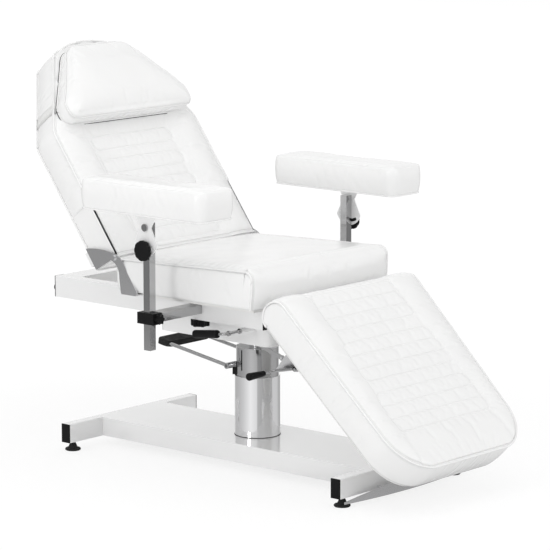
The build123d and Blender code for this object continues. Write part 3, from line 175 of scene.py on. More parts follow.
def steel_painted_dark():
    """Steel whose base colour is darkened below chrome: a painted dark reflection in place of a darker room, with
    fine lines along it.
    """
    material, tree, shader = new_material("steel_painted_dark", (0.5, 0.5, 0.505), 0.1, 1.0)
    lines = clouds(tree, 90.0, 4.0, stretch=(40.0, 40.0, 0.5))
    spread(tree, lines, 0.05, 0.18, shader)
    tint(tree, lines, (0.44, 0.44, 0.445), (0.56, 0.56, 0.565), shader)
    return material


def satin_plate():
    """Zinc-bright sheet with a satin face."""
    material, tree, shader = new_material("satin_plate", (0.95, 0.95, 0.95), 0.5, 0.3)
    cloud = clouds(tree, 150.0, 5.0)
    spread(tree, cloud, 0.42, 0.58, shader)
    add_bump(tree, shader, cloud, 0.06, 0.0001)
    return material


def polished_plate():
    """Polished steel sheet with fine lines along it."""
    material, tree, shader = new_material("polished_plate", (0.8, 0.8, 0.81), 0.2, 1.0)
    lines = clouds(tree, 60.0, 5.0, stretch=(0.6, 4.0, 60.0))
    spread(tree, lines, 0.12, 0.3, shader)
    add_bump(tree, shader, lines, 0.05, 0.0001)
    return material


def raw_steel():
    """Zinc-plated steel of bolts, nuts and pump castings."""
    material, tree, shader = new_material("grey_steel", (0.42, 0.42, 0.43), 0.35, 1.0)
    patch = clouds(tree, 120.0, 6.0)
    spread(tree, patch, 0.25, 0.5, shader)
    tint(tree, patch, (0.36, 0.36, 0.37), (0.5, 0.5, 0.5), shader)
    return material


def black_plastic():
    """Moulded black plastic with a spark-eroded grain."""
    material, tree, shader = new_material("black_plastic", (0.01, 0.01, 0.0105), 0.4)
    shader.inputs["Specular IOR Level"].default_value = 0.1
    grain = clouds(tree, 1400.0, 2.0)
    add_bump(tree, shader, grain, 0.2, 0.0002)
    wear = clouds(tree, 30.0, 4.0)
    spread(tree, wear, 0.32, 0.5, shader)
    return material


def black_rubber():
    """Matt rubber, a little dusty."""
    material, tree, shader = new_material("black_rubber", (0.014, 0.014, 0.014), 0.65)
    shader.inputs["Specular IOR Level"].default_value = 0.25
    dust = clouds(tree, 90.0, 6.0)
    tint(tree, dust, (0.008, 0.008, 0.008), (0.024, 0.024, 0.024), shader)
    spread(tree, dust, 0.55, 0.8, shader)
    add_bump(tree, shader, dust, 0.1, 0.0003)
    return material


def white_board():
    """White-faced board under the cushions."""
    material, tree, shader = new_material("board", (0.8, 0.8, 0.79), 0.55)
    fibre = clouds(tree, 180.0, 4.0, stretch=(1, 0.2, 1))
    tint(tree, fibre, (0.76, 0.755, 0.74), (0.83, 0.83, 0.82), shader)
    add_bump(tree, shader, fibre, 0.1, 0.0003)
    return material


def webbing():
    """White elastic web."""
    material, tree, shader = new_material("strap_web", (0.82, 0.82, 0.81), 0.75)
    ribs = texture(tree, "ShaderNodeTexWave", 420.0, Distortion=0.3)
    add_bump(tree, shader, ribs.outputs["Fac"], 0.5, 0.0004)
    tint(tree, ribs.outputs["Fac"], (0.74, 0.74, 0.73), (0.86, 0.86, 0.85), shader)
    return material


finish = {
    "white_vinyl": vinyl(), "white_paint": gloss_paint(), "chrome": chrome(),
    "polished_plate": polished_plate(), "grey_steel": raw_steel(), "black_plastic": black_plastic(),
    "black_rubber": black_rubber(), "board": white_board(), "strap_web": webbing(),
    "steel_painted_dark": steel_painted_dark(), "satin_plate": satin_plate(),
}
slot_of = {entry["node"]: entry["material_slot"] for entry in frame["record"]["subparts"]}
# the photograph shows these in another finish than the record's slot
slot_of |= {"column_cover": "chrome", "column_ring": "grey_steel", "leg_brackets": "polished_plate"}
# these parts, and the arm posts and tubes below, get steel with a darkened base colour: a painted dark reflection
for name in ("column_sleeve", "leg_stay", "pedal_bar", "leg_lever", "back_lever"):
    slot_of[name] = "steel_painted_dark"
for side in ("left", "right"):
    slot_of |= {f"arm_post_{side}": "steel_painted_dark", f"arm_tube_{side}": "steel_painted_dark",
                f"arm_plate_{side}": "satin_plate"}
for node_name, node in frame["nodes"].items():
    node.data.materials.clear()
    node.data.materials.append(finish[slot_of[node_name]])


# shapes of the cushions
seam_tuck = 3.6 * mm
seam_side = 3.6 * mm
seam_soft = 1.8 * mm
valley_wide = 5 * mm
valley_share = 0.4
thread_wide = 1.5 * mm
thread_share = 0.6
edge_steps = (0.9 * mm, 2 * mm, 3.2 * mm, 4.8 * mm, 7 * mm, 10 * mm)
edge_strip = 11 * mm
seam_steps = (-3.6 * mm, -1.8 * mm, -0.8 * mm, 0, 0.8 * mm, 1.8 * mm, 3.6 * mm)
seam_reach = 3.6 * mm
least_step = 0.25 * mm
least_step_across = 0.3 * mm
wall_seam_steps = (0.5, 1, 1.5, 2.2)
wall_seam_end = 3.2
wrinkle_size = 0.07
tube_sides = 8
tiny = 1e-9

# where piping sits, as shares of its radius
piping_out = 0.6
piping_up = 0.25
low_piping_out = 0.5
rim_reach = 1.3

# cloth that gives the covers their swell
cloth_gap = 8 * mm
cloth_pressure = 4.0
cloth_frames = 20
cloth_quality = 4
cloth_mass = 0.3
cloth_shrink = -0.004
cloth_wall_step = 3
line_found = -1.4 * mm
line_held = -0.9 * mm


def outline(corners, step=2.5 * mm):
    """Half of an outline as (half width, place along) points, with its corners rounded.

    corners are (half width, place, radius); the first and last lie on the middle line."""
    points = [corners[0][:2]]
    for before, here, after in zip(corners, corners[1:], corners[2:]):
        at = np.array(here[:2])
        inward = np.array(before[:2]) - at
        outward = np.array(after[:2]) - at
        inward /= hypot(*inward)
        outward /= hypot(*outward)
        radius = here[2]
        half = np.arccos(np.clip(inward @ outward, -1, 1)) / 2
        middle = inward + outward
        centre = at + middle / hypot(*middle) * radius / sin(half)
        start = at + inward * radius / np.tan(half) - centre
        sweep = pi - 2 * half
        turns = max(2, int(radius * sweep / step))
        for angle in np.linspace(0, sweep, turns + 1):
            points.append((centre[0] + start[0] * cos(angle) - start[1] * sin(angle),
                           centre[1] + start[0] * sin(angle) + start[1] * cos(angle)))
    points.append(corners[-1][:2])
    return np.array(points)


def stadium_line(x, u, centre, half_long, half_tall):
    """Distance from a stadium's outline."""
    beyond = np.maximum(np.abs(x) - (half_long - half_tall), 0)
    return np.abs(np.hypot(beyond, u - centre) - half_tall)


def round_box_line(x, u, centre, half_x, half_u, radius):
    """Distance from the outline of a rounded rectangle, less than 0 inside."""
    dx = np.abs(x) - (half_x - radius)
    du = np.abs(u - centre) - (half_u - radius)
    outside = np.hypot(np.maximum(dx, 0), np.maximum(du, 0))
    return outside + np.minimum(np.maximum(dx, du), 0) - radius


def seam(distance, deep):
    """A sewn line: a soft valley with a sharp thread line in it."""
    return -deep * (valley_share * np.exp(-distance / valley_wide)
                    + thread_share * np.exp(-(distance / thread_wide) ** 2))


def bead_groove(edge):
    """The groove in a face along its piping."""
    return -seam_tuck * np.exp(-((edge - seam_side) / seam_soft) ** 2)


def roll(distance, radius, drop):
    """How far a face falls towards its edge, a quarter of an ellipse."""
    share = np.clip(1 - distance / radius, 0, 1)
    return -drop * (1 - np.sqrt(np.maximum(0, 1 - share ** 2)))


def wander(points, size, seed):
    """Slow smooth noise on an array of points."""
    offset = Vector((seed * 3.1, seed * 1.7, seed * 0.9))
    return np.array([noise.noise(Vector(p) / size + offset) for p in points])


def hollows(x, u, deep, size, seed):
    """Broad, slight hollows and rises of a face that has been sat or leaned on."""
    return deep * wander(np.stack((x, u, 0 * x), -1).reshape(-1, 3), size, seed).reshape(x.shape)


def mesh_object(name, points, faces, matrix, material):
    """A smooth mesh object from points in local axes."""
    mesh = bpy.data.meshes.new(name)
    mesh.from_pydata([tuple(p) for p in points], [], faces)
    mesh.transform(matrix)
    mesh.materials.append(material)
    mesh.polygons.foreach_set("use_smooth", [True] * len(mesh.polygons))
    mesh.validate()
    piece = bpy.data.objects.new(name, mesh)
    bpy.context.scene.collection.objects.link(piece)
    return piece


def unit(vectors, least=tiny):
    """Rows of vectors scaled to length 1, those shorter than least left short."""
    return vectors / np.maximum(np.linalg.norm(vectors, axis=1), least)[:, None]


def tube_mesh(path, radius, closed):
    """Points and quads of a tube along an array of points."""
    ahead = np.roll(path, -1, 0) - path
    behind = path - np.roll(path, 1, 0)
    if not closed:
        ahead[-1] = behind[-1]
        behind[0] = ahead[0]
    tangent = unit(ahead, 0) + unit(behind, 0)
    tangent = unit(tangent, 0)
    side = unit(np.cross(tangent, (0.0, 0.0, 1.0)))
    rise = np.cross(side, tangent)
    angles = np.linspace(0, 2 * pi, tube_sides, endpoint=False)
    rings = (path[:, None] + radius * (np.cos(angles)[None, :, None] * side[:, None]
                                       + np.sin(angles)[None, :, None] * rise[:, None]))
    faces = []
    count = len(path)
    for i in range(count if closed else count - 1):
        a, b = i * tube_sides, (i + 1) % count * tube_sides
        for k in range(tube_sides):
            m = (k + 1) % tube_sides
            faces.append((a + k, a + m, b + m, b + k))
    return rings.reshape(-1, 3), faces


def shell_mesh(points, faces):
    """A bare mesh of a cushion's cover."""
    mesh = bpy.data.meshes.new("cover")
    mesh.from_pydata([tuple(p) for p in points], [], faces)
    return mesh


def normals_of(points, faces):
    """The direction out of a cover at each of its points."""
    mesh = shell_mesh(points, faces)
    normals = np.empty(3 * len(points))
    mesh.vertex_normals.foreach_get("vector", normals)
    bpy.data.meshes.remove(mesh)
    return normals.reshape(-1, 3)


def swollen(points, faces, held, cap):
    """Where a cover comes to rest over its filling: cloth under pressure, held along its seams."""
    scene = bpy.context.scene
    cloth_cover = bpy.data.objects.new("cover", shell_mesh(points, faces))
    scene.collection.objects.link(cloth_cover)
    cloth_cover.vertex_groups.new(name="held").add([int(v) for v in held], 1.0, "REPLACE")
    cloth = cloth_cover.modifiers.new("Cloth", "CLOTH")
    cloth.settings.quality = cloth_quality
    cloth.settings.mass = cloth_mass
    cloth.settings.use_pressure = True
    cloth.settings.uniform_pressure_force = cloth_pressure
    cloth.settings.vertex_group_mass = "held"
    cloth.settings.shrink_min = cloth_shrink
    cloth.settings.effector_weights.gravity = 0
    cloth.collision_settings.use_collision = False
    cloth.point_cache.frame_start = 1
    cloth.point_cache.frame_end = cloth_frames
    for step in range(1, cloth_frames + 1):
        scene.frame_set(step)
    rested = cloth_cover.evaluated_get(bpy.context.evaluated_depsgraph_get()).to_mesh()
    places = np.empty(3 * len(points))
    rested.vertices.foreach_get("co", places)
    bpy.data.objects.remove(cloth_cover)
    scene.frame_set(1)
    moves = places.reshape(-1, 3) - points
    reach = np.linalg.norm(moves, axis=1)[:, None]
    return points + moves * np.minimum(1, cap / np.maximum(reach, tiny))


def cover(face, walls, loop, closed):
    """Points, faces and rings of a cover: a face grid with walls that hang from its loop."""
    rows, columns = face.shape[:2]
    points = np.concatenate([face.reshape(-1, 3), *walls])
    faces = []
    for i in range(rows - 1):
        for j in range(columns - 1):
            a = i * columns + j
            faces.append((a, a + 1, a + columns + 1, a + columns))
    count = len(loop)
    rings = [[i * columns + j for i, j in loop]]
    for k in range(len(walls)):
        first = rows * columns + k * count
        rings.append(list(range(first, first + count)))
    for upper, lower in zip(rings, rings[1:]):
        for a in range(count if closed else count - 1):
            b = (a + 1) % count
            faces.append((upper[a], lower[a], lower[b], upper[b]))
    return points, faces, rings


def face_loop(rows, columns, closed):
    """Grid places round a face, from the last row down, along the first and back up."""
    left = [(i, 0) for i in range(rows - 1, -1, -1)]
    end = [(0, j) for j in range(1, columns)]
    right = [(i, columns - 1) for i in range(1, rows)]
    far = [(rows - 1, j) for j in range(columns - 2, 0, -1)] if closed else []
    return left + end + right + far


def between(values, known, places):
    """Values at places from values at known, rising places, along a smooth curve."""
    k = np.clip(np.searchsorted(known, places) - 1, 0, len(known) - 2)
    t = np.clip((places - known[k]) / (known[k + 1] - known[k]), 0, 1)
    t = t.reshape(-1, *[1] * (values.ndim - 1))
    before, here = values[np.maximum(k - 1, 0)], values[k]
    after, beyond = values[k + 1], values[np.minimum(k + 2, len(known) - 1)]
    bend = 2 * before - 5 * here + 4 * after - beyond + t * (3 * (here - after) + beyond - before)
    return here + 0.5 * t * (after - before + t * bend)


def thinned(places, line_depth):
    """Indices of places about a cloth_gap apart, with those on a stitched line kept."""
    padded = np.pad(line_depth, 1, mode="edge")
    lines = (line_depth < line_found) & (line_depth <= padded[:-2]) & (line_depth <= padded[2:])
    kept = [0]
    for i in range(1, len(places) - 1):
        ahead = np.flatnonzero(lines[i + 1:])
        room = places[i + 1 + ahead[0]] - places[i] if len(ahead) else cloth_gap
        if lines[i] or places[i] - places[kept[-1]] >= cloth_gap and room >= 0.5 * cloth_gap:
            kept.append(i)
    return np.array(kept + [len(places) - 1])


def outward_of(x, u, loop, nose):
    """The flat direction out of a cushion at each place of its loop."""
    flat = np.array([(x[i, j], u[i, j]) for i, j in loop])
    ahead = np.roll(flat, -1, 0) - flat
    behind = flat - np.roll(flat, 1, 0)
    if nose:
        ahead[-1] = behind[-1]
        behind[0] = ahead[0]
    lean = unit(ahead) + unit(behind)
    outward = np.stack((lean[:, 1], -lean[:, 0]), -1)
    if nose:
        turned = np.array([i >= nose for i, j in loop])
        outward[turned] = np.stack((np.sign(flat[turned, 0]), np.zeros(turned.sum())), -1)
    return np.pad(unit(outward), ((0, 0), (0, 1)))


def swell(face, walls, steps, loop, run, share, widest, stitching, nose, cap):
    """Lay a cover's face and walls over its filling: the cloth runs on a thinned grid, and its
    moves are carried over to the fine one."""
    closed = not nose
    some_rows = thinned(run, stitching[:, len(share) // 2])
    some_columns = thinned(share * widest, 0 * share)
    some_steps = np.unique([*range(2, len(steps), cloth_wall_step), len(steps) - 1])
    spots = {spot: k for k, spot in enumerate(loop)}
    coarse_loop = face_loop(len(some_rows), len(some_columns), closed)
    picked = np.array([spots[some_rows[i], some_columns[j]] for i, j in coarse_loop])
    coarse_face = face[np.ix_(some_rows, some_columns)]
    points, faces, rings = cover(coarse_face, walls[some_steps][:, picked], coarse_loop, closed)
    held = set(rings[0]) | set(rings[-1])
    held |= set(np.flatnonzero(stitching[np.ix_(some_rows, some_columns)] < line_held))
    if nose:
        count = len(some_rows) * len(some_columns)
        held |= set(range(count - len(some_columns), count))
    moves = swollen(points, faces, held, cap) - points
    grid = moves[:coarse_face.size // 3].reshape(coarse_face.shape)
    grid = between(grid, run[some_rows], run).swapaxes(0, 1)
    face += between(grid, share[some_columns], share).swapaxes(0, 1)
    hung = moves[coarse_face.size // 3:].reshape(len(some_steps), len(picked), 3).swapaxes(0, 1)
    order = np.argsort(picked)
    known, hung = picked[order], hung[order]
    if closed:
        known, hung = np.append(known, known[0] + len(loop)), np.concatenate((hung, hung[:1]))
    hung = between(hung, known, np.arange(len(loop))).swapaxes(0, 1)
    hung = np.concatenate((0 * hung[:1], hung))
    walls += between(hung, np.append(0, steps[some_steps]), steps)


# the line round each cushion just outside its lowest piping
rim_lines = {}


def cushion(name, matrix, rows, share, form, sewn, side_bulge, side_tuck, seed, side_rows=14,
            piping=0.0, low_piping=0.0, nose=0, cap=5 * mm, wrinkle=0.6 * mm, slim=None):
    """A cushion: a face that follows rows, side walls, an underside and piping along the seams.

    rows holds for each row its face place (u, n), its underside place (u, n), its half width and
    its bow, the extra reach of its middle. Rows from nose on turn down round the end. share holds
    the places across, from -1 to 1. form lifts the face before the cover swells, sewn draws the
    stitched lines in after that. slim holds the sides in to a half width below a place along."""
    up_u, up_n, low_u, low_n, half, bow = (np.asarray(r, float) for r in rows)
    x = half[:, None] * share[None]
    u = up_u[:, None] + bow[:, None] * (1 - share[None] ** 2)
    n = np.repeat(up_n[:, None], len(share), 1)
    slope_u = np.gradient(up_u)
    slope_n = np.gradient(up_n)
    size = np.maximum(np.hypot(slope_u, slope_n), tiny)
    run = np.concatenate(([0], np.cumsum(np.hypot(np.diff(up_u), np.diff(up_n)))))
    lift = form(x, u, run[:, None] + 0 * x, half[:, None] + 0 * x)
    spots = np.stack((x, u, n), -1).reshape(-1, 3)
    lift = lift + wrinkle * wander(spots, wrinkle_size, seed).reshape(x.shape)
    face = np.stack((x, u - lift * (slope_n / size)[:, None],
                     n + lift * (slope_u / size)[:, None]), -1)
    stitching = sewn(x, u, run[:, None] + 0 * x, half[:, None] + 0 * x)

    # walls hang from the seam round the face
    closed = not nose
    loop = face_loop(len(half), len(share), closed)
    tops = np.array([face[i, j] for i, j in loop])
    lows = np.array([(x[i, j], low_u[i] + bow[i] * (1 - share[j] ** 2), low_n[i]) for i, j in loop])
    outward = outward_of(x, u, loop, nose)
    tall = np.linalg.norm(lows - tops, axis=1)
    deepest = max(tall.max(), tiny)
    fade = (tall / deepest)[:, None]
    steps = np.array(wall_steps(side_rows, deepest))
    bulges = [side_bulge * sin(pi * t) ** 0.7 - side_tuck * t ** 3 for t in steps]
    walls = np.array([tops + (lows - tops) * t + bulge * fade * outward
                      for t, bulge in zip(steps, bulges)])

    swell(face, walls, steps, loop, run, share, half.max(), stitching, nose, cap)

    # the stitching is drawn in, and the wall tucks in under the piping
    points, faces, rings = cover(face, walls, loop, closed)
    normals = normals_of(points, faces)
    points[:stitching.size] += normals[:stitching.size] * stitching.reshape(-1, 1)
    seam_path = points[rings[0]]
    if piping:
        for ring, t in zip(rings[1:], steps):
            tuck = seam_tuck * np.exp(-((t * deepest - seam_side) / seam_soft) ** 2)
            points[ring] -= normals[ring] * tuck * fade

    # underside: one flat face
    base = rings[-1]
    shut = base
    if nose:
        shut = base + [(len(half) - 1) * len(share) + j for j in range(len(share) - 2, 0, -1)]
    under = len(faces)
    faces.append(tuple(reversed(shut)))
    tubes = []
    if piping:
        above = normals[rings[0]] * piping * piping_up
        tubes.append((seam_path + outward * piping * piping_out + above, piping))
    if low_piping:
        tubes.append((points[base] + outward * low_piping * low_piping_out, low_piping))
    for path, radius in tubes:
        ring_points, ring_faces = tube_mesh(path, radius, closed)
        faces.extend(tuple(v + len(points) for v in f) for f in ring_faces)
        points = np.concatenate((points, ring_points))
    if slim:
        between_plates = points[:, 1] < slim[1]
        points[between_plates, 0] = np.clip(points[between_plates, 0], -slim[0], slim[0])
    rim_lines[name] = points[base] + outward * low_piping * rim_reach
    piece = mesh_object(name, points, faces, matrix, finish["white_vinyl"])
    piece.data.polygons[under].use_smooth = False
    return piece


def wall_steps(count, tall):
    """Steps down a side wall: close under the seam, then even."""
    close = [seam_side * part / tall for part in wall_seam_steps]
    return close + list(np.linspace(max(wall_seam_end * seam_side / tall, 1 / count), 1, count))


def spaced(places, least):
    """Places in rising order, without those closer than least to the one before."""
    every = np.unique(np.round(places, 6))
    keep = [every[0]]
    for value in every[1:]:
        if value - keep[-1] > least:
            keep.append(value)
    return np.array(keep)


def across(half, fine=(), spacing=5 * mm):
    """Places across a cushion, from -1 to 1: close together at its seams and sewn lines."""
    edge = [half - d for d in edge_steps]
    extra = [f + d for f in fine for d in seam_steps]
    right = rows_of((0, half), [], spacing)
    right = np.concatenate((right[right < half - edge_strip], edge, extra, [half]))
    keep = spaced(right, least_step_across)
    keep[-1] = half
    keep = keep / half
    return np.concatenate((-keep[:0:-1], keep))


def rows_of(places, fine, spacing):
    """Row places: even steps, with close ones round each sewn line."""
    low, high = places
    even = np.arange(low, high, spacing)
    close = [f + share * seam_reach for f in fine for share in (-1, -0.5, -0.2, 0, 0.2, 0.5, 1)]
    return spaced(np.concatenate((even, [high], [c for c in close if low < c < high])), least_step)


# backrest
back_half = 315 * mm
back_low = 2 * mm
back_shoulder = 440 * mm
back_crown = 716 * mm
back_crown_half = 150 * mm
back_head = 742 * mm
back_face = 16.3 * mm
back_rear = -88.7 * mm
stadium_first = 48 * mm
stadium_pitch = 84 * mm
stadium_tall = 48 * mm
stadium_half = 178 * mm
stadium_count = 5
well_half = 200 * mm
well_low = 20 * mm
well_high = 428 * mm
well_deep = 7 * mm
piping_r = 3.3 * mm
stitch_deep = 2.3 * mm
back_roll = 26 * mm
back_roll_drop = 6 * mm
back_grid = 4 * mm
bolster_rise = 6 * mm
bolster_fade = 150 * mm
well_corner = 40 * mm
well_soft = 5 * mm
bow_from = 0.7
bow_span = 0.3
plate_half = 313 * mm
plate_reach = 190 * mm


def stadium_centres():
    """Places along the backrest of the middles of its sewn stadium shapes."""
    return [stadium_first + stadium_pitch * k for k in range(stadium_count)]


def back_form(x, u, run, half):
    """Backrest face: side bolsters round a shallow well."""
    ax = np.abs(x)
    edge = np.minimum(half - ax, np.minimum(u - back_low, back_head - u))
    lift = roll(edge, back_roll, back_roll_drop)
    bolster = np.clip((ax - well_half) / (half - well_half + tiny), 0, 1)
    fade = np.clip((back_crown - u) / bolster_fade, 0, 1)
    lift += bolster_rise * np.sin(pi * bolster) ** 0.8 * fade
    well = round_box_line(x, u, (well_low + well_high) / 2, well_half, (well_high - well_low) / 2,
                          well_corner)
    return lift - well_deep / (1 + np.exp(well / well_soft))


def back_sewn(x, u, run, half):
    """Stadium shapes sewn across the well, and the groove along the piping."""
    edge = np.minimum(half - np.abs(x), np.minimum(u - back_low, back_head - u))
    drawn = bead_groove(edge)
    for centre in stadium_centres():
        drawn += seam(stadium_line(x, u, centre, stadium_half, stadium_tall / 2), stitch_deep)
    return drawn


def back_cushion():
    """The backrest: straight sides, shoulders and a bowed head end."""
    shape = outline([(0, back_low), (back_half, back_low, 6 * mm),
                     (back_half, back_shoulder, 60 * mm),
                     (back_crown_half, back_crown, 50 * mm), (0, back_crown)])[1:-1]
    fine = [c + s * stadium_tall / 2 for c in stadium_centres() for s in (-1, 1)]
    u = rows_of((back_low, back_crown), fine, back_grid)
    ends = [back_low + d for d in (1.8 * mm, 3.6 * mm, 5.4 * mm)] + [back_crown - 2 * mm]
    u = np.unique(np.concatenate((u, shape[:, 1], ends)))
    half = np.interp(u, shape[:, 1], shape[:, 0])
    bow_share = np.clip((u - bow_from * back_crown) / (bow_span * back_crown), 0, 1)
    bow = (back_head - back_crown) * bow_share ** 2
    flat = np.full_like(u, back_face)
    low = np.full_like(u, back_rear)
    share = across(back_half, [stadium_half - 3 * mm, stadium_half], back_grid)
    return cushion("back_cushion", back_frame, (u, flat, u, low, half, bow), share, back_form,
                   back_sewn, side_bulge=3 * mm, side_tuck=6 * mm, piping=piping_r,
                   low_piping=3 * mm, slim=(plate_half, plate_reach), seed=2)


# head pillow
pillow_half = 272 * mm
pillow_low = 452 * mm
pillow_shoulder = 508 * mm
pillow_crown = 706 * mm
pillow_crown_half = 128 * mm
pillow_base = 19 * mm
pillow_seam = 66 * mm
pillow_swell = 26 * mm
pillow_taper = 22 * mm
pillow_roll = 75 * mm
pillow_grid = 4 * mm
pillow_low_slope = 1.25
pillow_hollow = 2.2 * mm
pillow_hollow_size = 0.16
pillow_bow = 4 * mm
pillow_bow_from = 600 * mm
pillow_bow_span = 106 * mm
pillow_taper_from = 540 * mm
pillow_taper_span = 166 * mm


def pillow_form(x, u, run, half):
    """Pillow face: one broad crown that falls away all round."""
    ends = np.minimum(pillow_low_slope * (u - pillow_low), pillow_crown + pillow_bow - u)
    rise = np.clip(np.minimum(half - np.abs(x), ends) / pillow_roll, 0, 1)
    hollow = hollows(x, u, pillow_hollow, pillow_hollow_size, 11)
    return pillow_swell * np.sqrt(1 - (1 - rise) ** 2) ** 0.9 + hollow * rise


def unsewn(x, u, run, half):
    """A face with no stitched lines."""
    return 0 * x


def pillow_cushion():
    """The head pillow, lower towards the head end."""
    shape = outline([(0, pillow_low), (pillow_half, pillow_low, 30 * mm),
                     (pillow_half, pillow_shoulder, 40 * mm),
                     (pillow_crown_half, pillow_crown, 70 * mm), (0, pillow_crown)])[1:-1]
    rows = rows_of((pillow_low, pillow_crown), [], pillow_grid)
    u = np.unique(np.concatenate((rows, shape[:, 1])))
    half = np.interp(u, shape[:, 1], shape[:, 0])
    bow_share = np.clip((u - pillow_bow_from) / pillow_bow_span, 0, 1)
    taper_share = np.clip((u - pillow_taper_from) / pillow_taper_span, 0, 1)
    seam_n = pillow_seam - pillow_taper * taper_share ** 1.5
    return cushion("pillow_cushion", back_frame,
                   (u, seam_n, u, np.full_like(u, pillow_base), half, pillow_bow * bow_share),
                   across(pillow_half), pillow_form, unsewn, side_bulge=3 * mm, side_tuck=3 * mm,
                   piping=2.0 * mm, low_piping=3.4 * mm, cap=8 * mm, wrinkle=1.2 * mm, seed=3)


# leg rest
leg_half_top = 311 * mm
leg_half_end = 288 * mm
leg_end = -673 * mm
leg_corner = 135 * mm
leg_face = 103.7 * mm
leg_under = -2.3 * mm
nose_u = -49.8 * mm
nose_n = 50.7 * mm
nose_r = 53 * mm
nose_reach = 46 * mm
sewn_top = -35 * mm
sewn_pitch = 46 * mm
sewn_lines = 3
sewn_boxes = 3
sewn_half_top = 184 * mm
sewn_half_end = 218 * mm
sewn_low = -541 * mm
sewn_corner = 22 * mm
leg_roll = 26 * mm
leg_roll_drop = 6 * mm
leg_bolster_rise = 4 * mm
leg_grid = 4 * mm
leg_under_reach = 4 * mm
inside_soft = 2 * mm
nose_rows = 64


def sewn_half(u):
    """Half the width of the sewn area at a place along the leg rest."""
    share = np.clip((u - sewn_top) / (sewn_low - sewn_top), 0, 1)
    return sewn_half_top + (sewn_half_end - sewn_half_top) * share


def sewn_tops():
    """Places along the leg rest of the upper lines of its sewn boxes."""
    return [sewn_top - k * (sewn_lines + 1) * sewn_pitch for k in range(sewn_boxes)]


def leg_place(run):
    """The place along the leg rest of a place on its face, measured over the nose as if flat."""
    return leg_end + run


def leg_form(x, u, run, half):
    """Leg rest face: a flat middle between two soft bolsters."""
    ax = np.abs(x)
    along = leg_place(run)
    bolster = np.clip((ax - sewn_half(along)) / (half - sewn_half(along)), 0, 1)
    rolled = roll(np.minimum(half - ax, run), leg_roll, leg_roll_drop)
    return rolled + leg_bolster_rise * np.sin(pi * bolster) ** 0.9


def leg_sewn(x, u, run, half):
    """Three boxes with cross lines, and the groove along the piping."""
    ax = np.abs(x)
    along = leg_place(run)
    drawn = bead_groove(np.minimum(half - ax, run))
    for top in sewn_tops():
        low = top - sewn_lines * sewn_pitch
        spare = sewn_half(along) - sewn_half(top)
        ring = round_box_line(ax - spare, along, (top + low) / 2, sewn_half(top), (top - low) / 2,
                              sewn_corner)
        drawn += seam(np.abs(ring), stitch_deep)
        inside = 1 / (1 + np.exp(ring / inside_soft))
        for step in range(1, sewn_lines):
            drawn += seam(np.abs(along - top + step * sewn_pitch), stitch_deep) * inside
    return drawn


def leg_cushion():
    """The leg rest: its face turns down over a nose under the seat."""
    shape = outline([(0, leg_end), (leg_half_end, leg_end, leg_corner), (leg_half_top, 0, 0),
                     (0, 0)], 3 * mm)[1:-2]
    fine = [top - step * sewn_pitch for top in sewn_tops() for step in range(sewn_lines + 1)]
    u = rows_of((leg_end, nose_u), [f for f in fine if f < nose_u], leg_grid)
    curve = shape[(shape[:, 1] > leg_end) & (shape[:, 1] < nose_u), 1]
    u = np.unique(np.concatenate((u, curve, [leg_end + seam_reach])))
    n = np.full_like(u, leg_face)
    turn = np.linspace(pi / 2, -pi / 2, nose_rows)[1:]
    u = np.concatenate((u, nose_u + nose_reach * np.cos(turn)))
    n = np.concatenate((n, nose_n + nose_r * np.sin(turn)))
    nose = len(u) - len(turn)
    low_u = u.copy()
    low_u[nose:] = np.linspace(u[nose - 1], nose_u + leg_under_reach, len(turn) + 1)[1:]
    low_u[nose:] = np.minimum(low_u[nose:], nose_u)
    low_n = np.full_like(u, leg_under)
    half = np.interp(np.minimum(u, 0), shape[:, 1], shape[:, 0])
    share = across(leg_half_top, [sewn_half_top, sewn_half_end], leg_grid)
    return cushion("leg_cushion", leg_frame, (u, n, low_u, low_n, half, 0 * u), share, leg_form,
                   leg_sewn, side_bulge=3 * mm, side_tuck=4 * mm, piping=piping_r, nose=nose,
                   seed=4)


# seat
seat_low_box, seat_high_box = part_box("seat_pad")
seat_inset = 1 * mm
seat_half = (seat_high_box.x - seat_low_box.x) / 2
seat_rear = -(seat_high_box.y - column_y)
seat_front_gap = 5 * mm
seat_front = -(seat_low_box.y - column_y) - seat_front_gap
seat_under = seat_low_box.z
seat_top = seat_high_box.z
seat_rear_drop = 17 * mm
seat_lip_r = 30 * mm
seat_crown = 4 * mm
seat_room = 6 * mm
seat_roll = 26 * mm
seat_roll_drop = 5 * mm
seat_hollow = 1.5 * mm
seat_hollow_size = 0.2
seat_grid = 5 * mm
seat_front_tuck = 5 * mm
seat_lip_rows = 22
seat_front_rows = 20
seat_lip_end = -0.06
seat_frame = Matrix.Translation((column_x, column_y, 0)) @ Matrix.Rotation(pi, 4, "Z")


def seat_form(x, u, run, half):
    """Seat face: a broad crown with softly rolled sides and a sat-in hollow."""
    edge = np.minimum(half - np.abs(x), run)
    crown = 1 - (x / half) ** 2
    hollow = hollows(x, u, seat_hollow, seat_hollow_size, 17)
    return roll(edge, seat_roll, seat_roll_drop) + seat_crown * crown + hollow


def seat_sewn(x, u, run, half):
    """The groove along the seat's piping."""
    return bead_groove(np.minimum(half - np.abs(x), run))


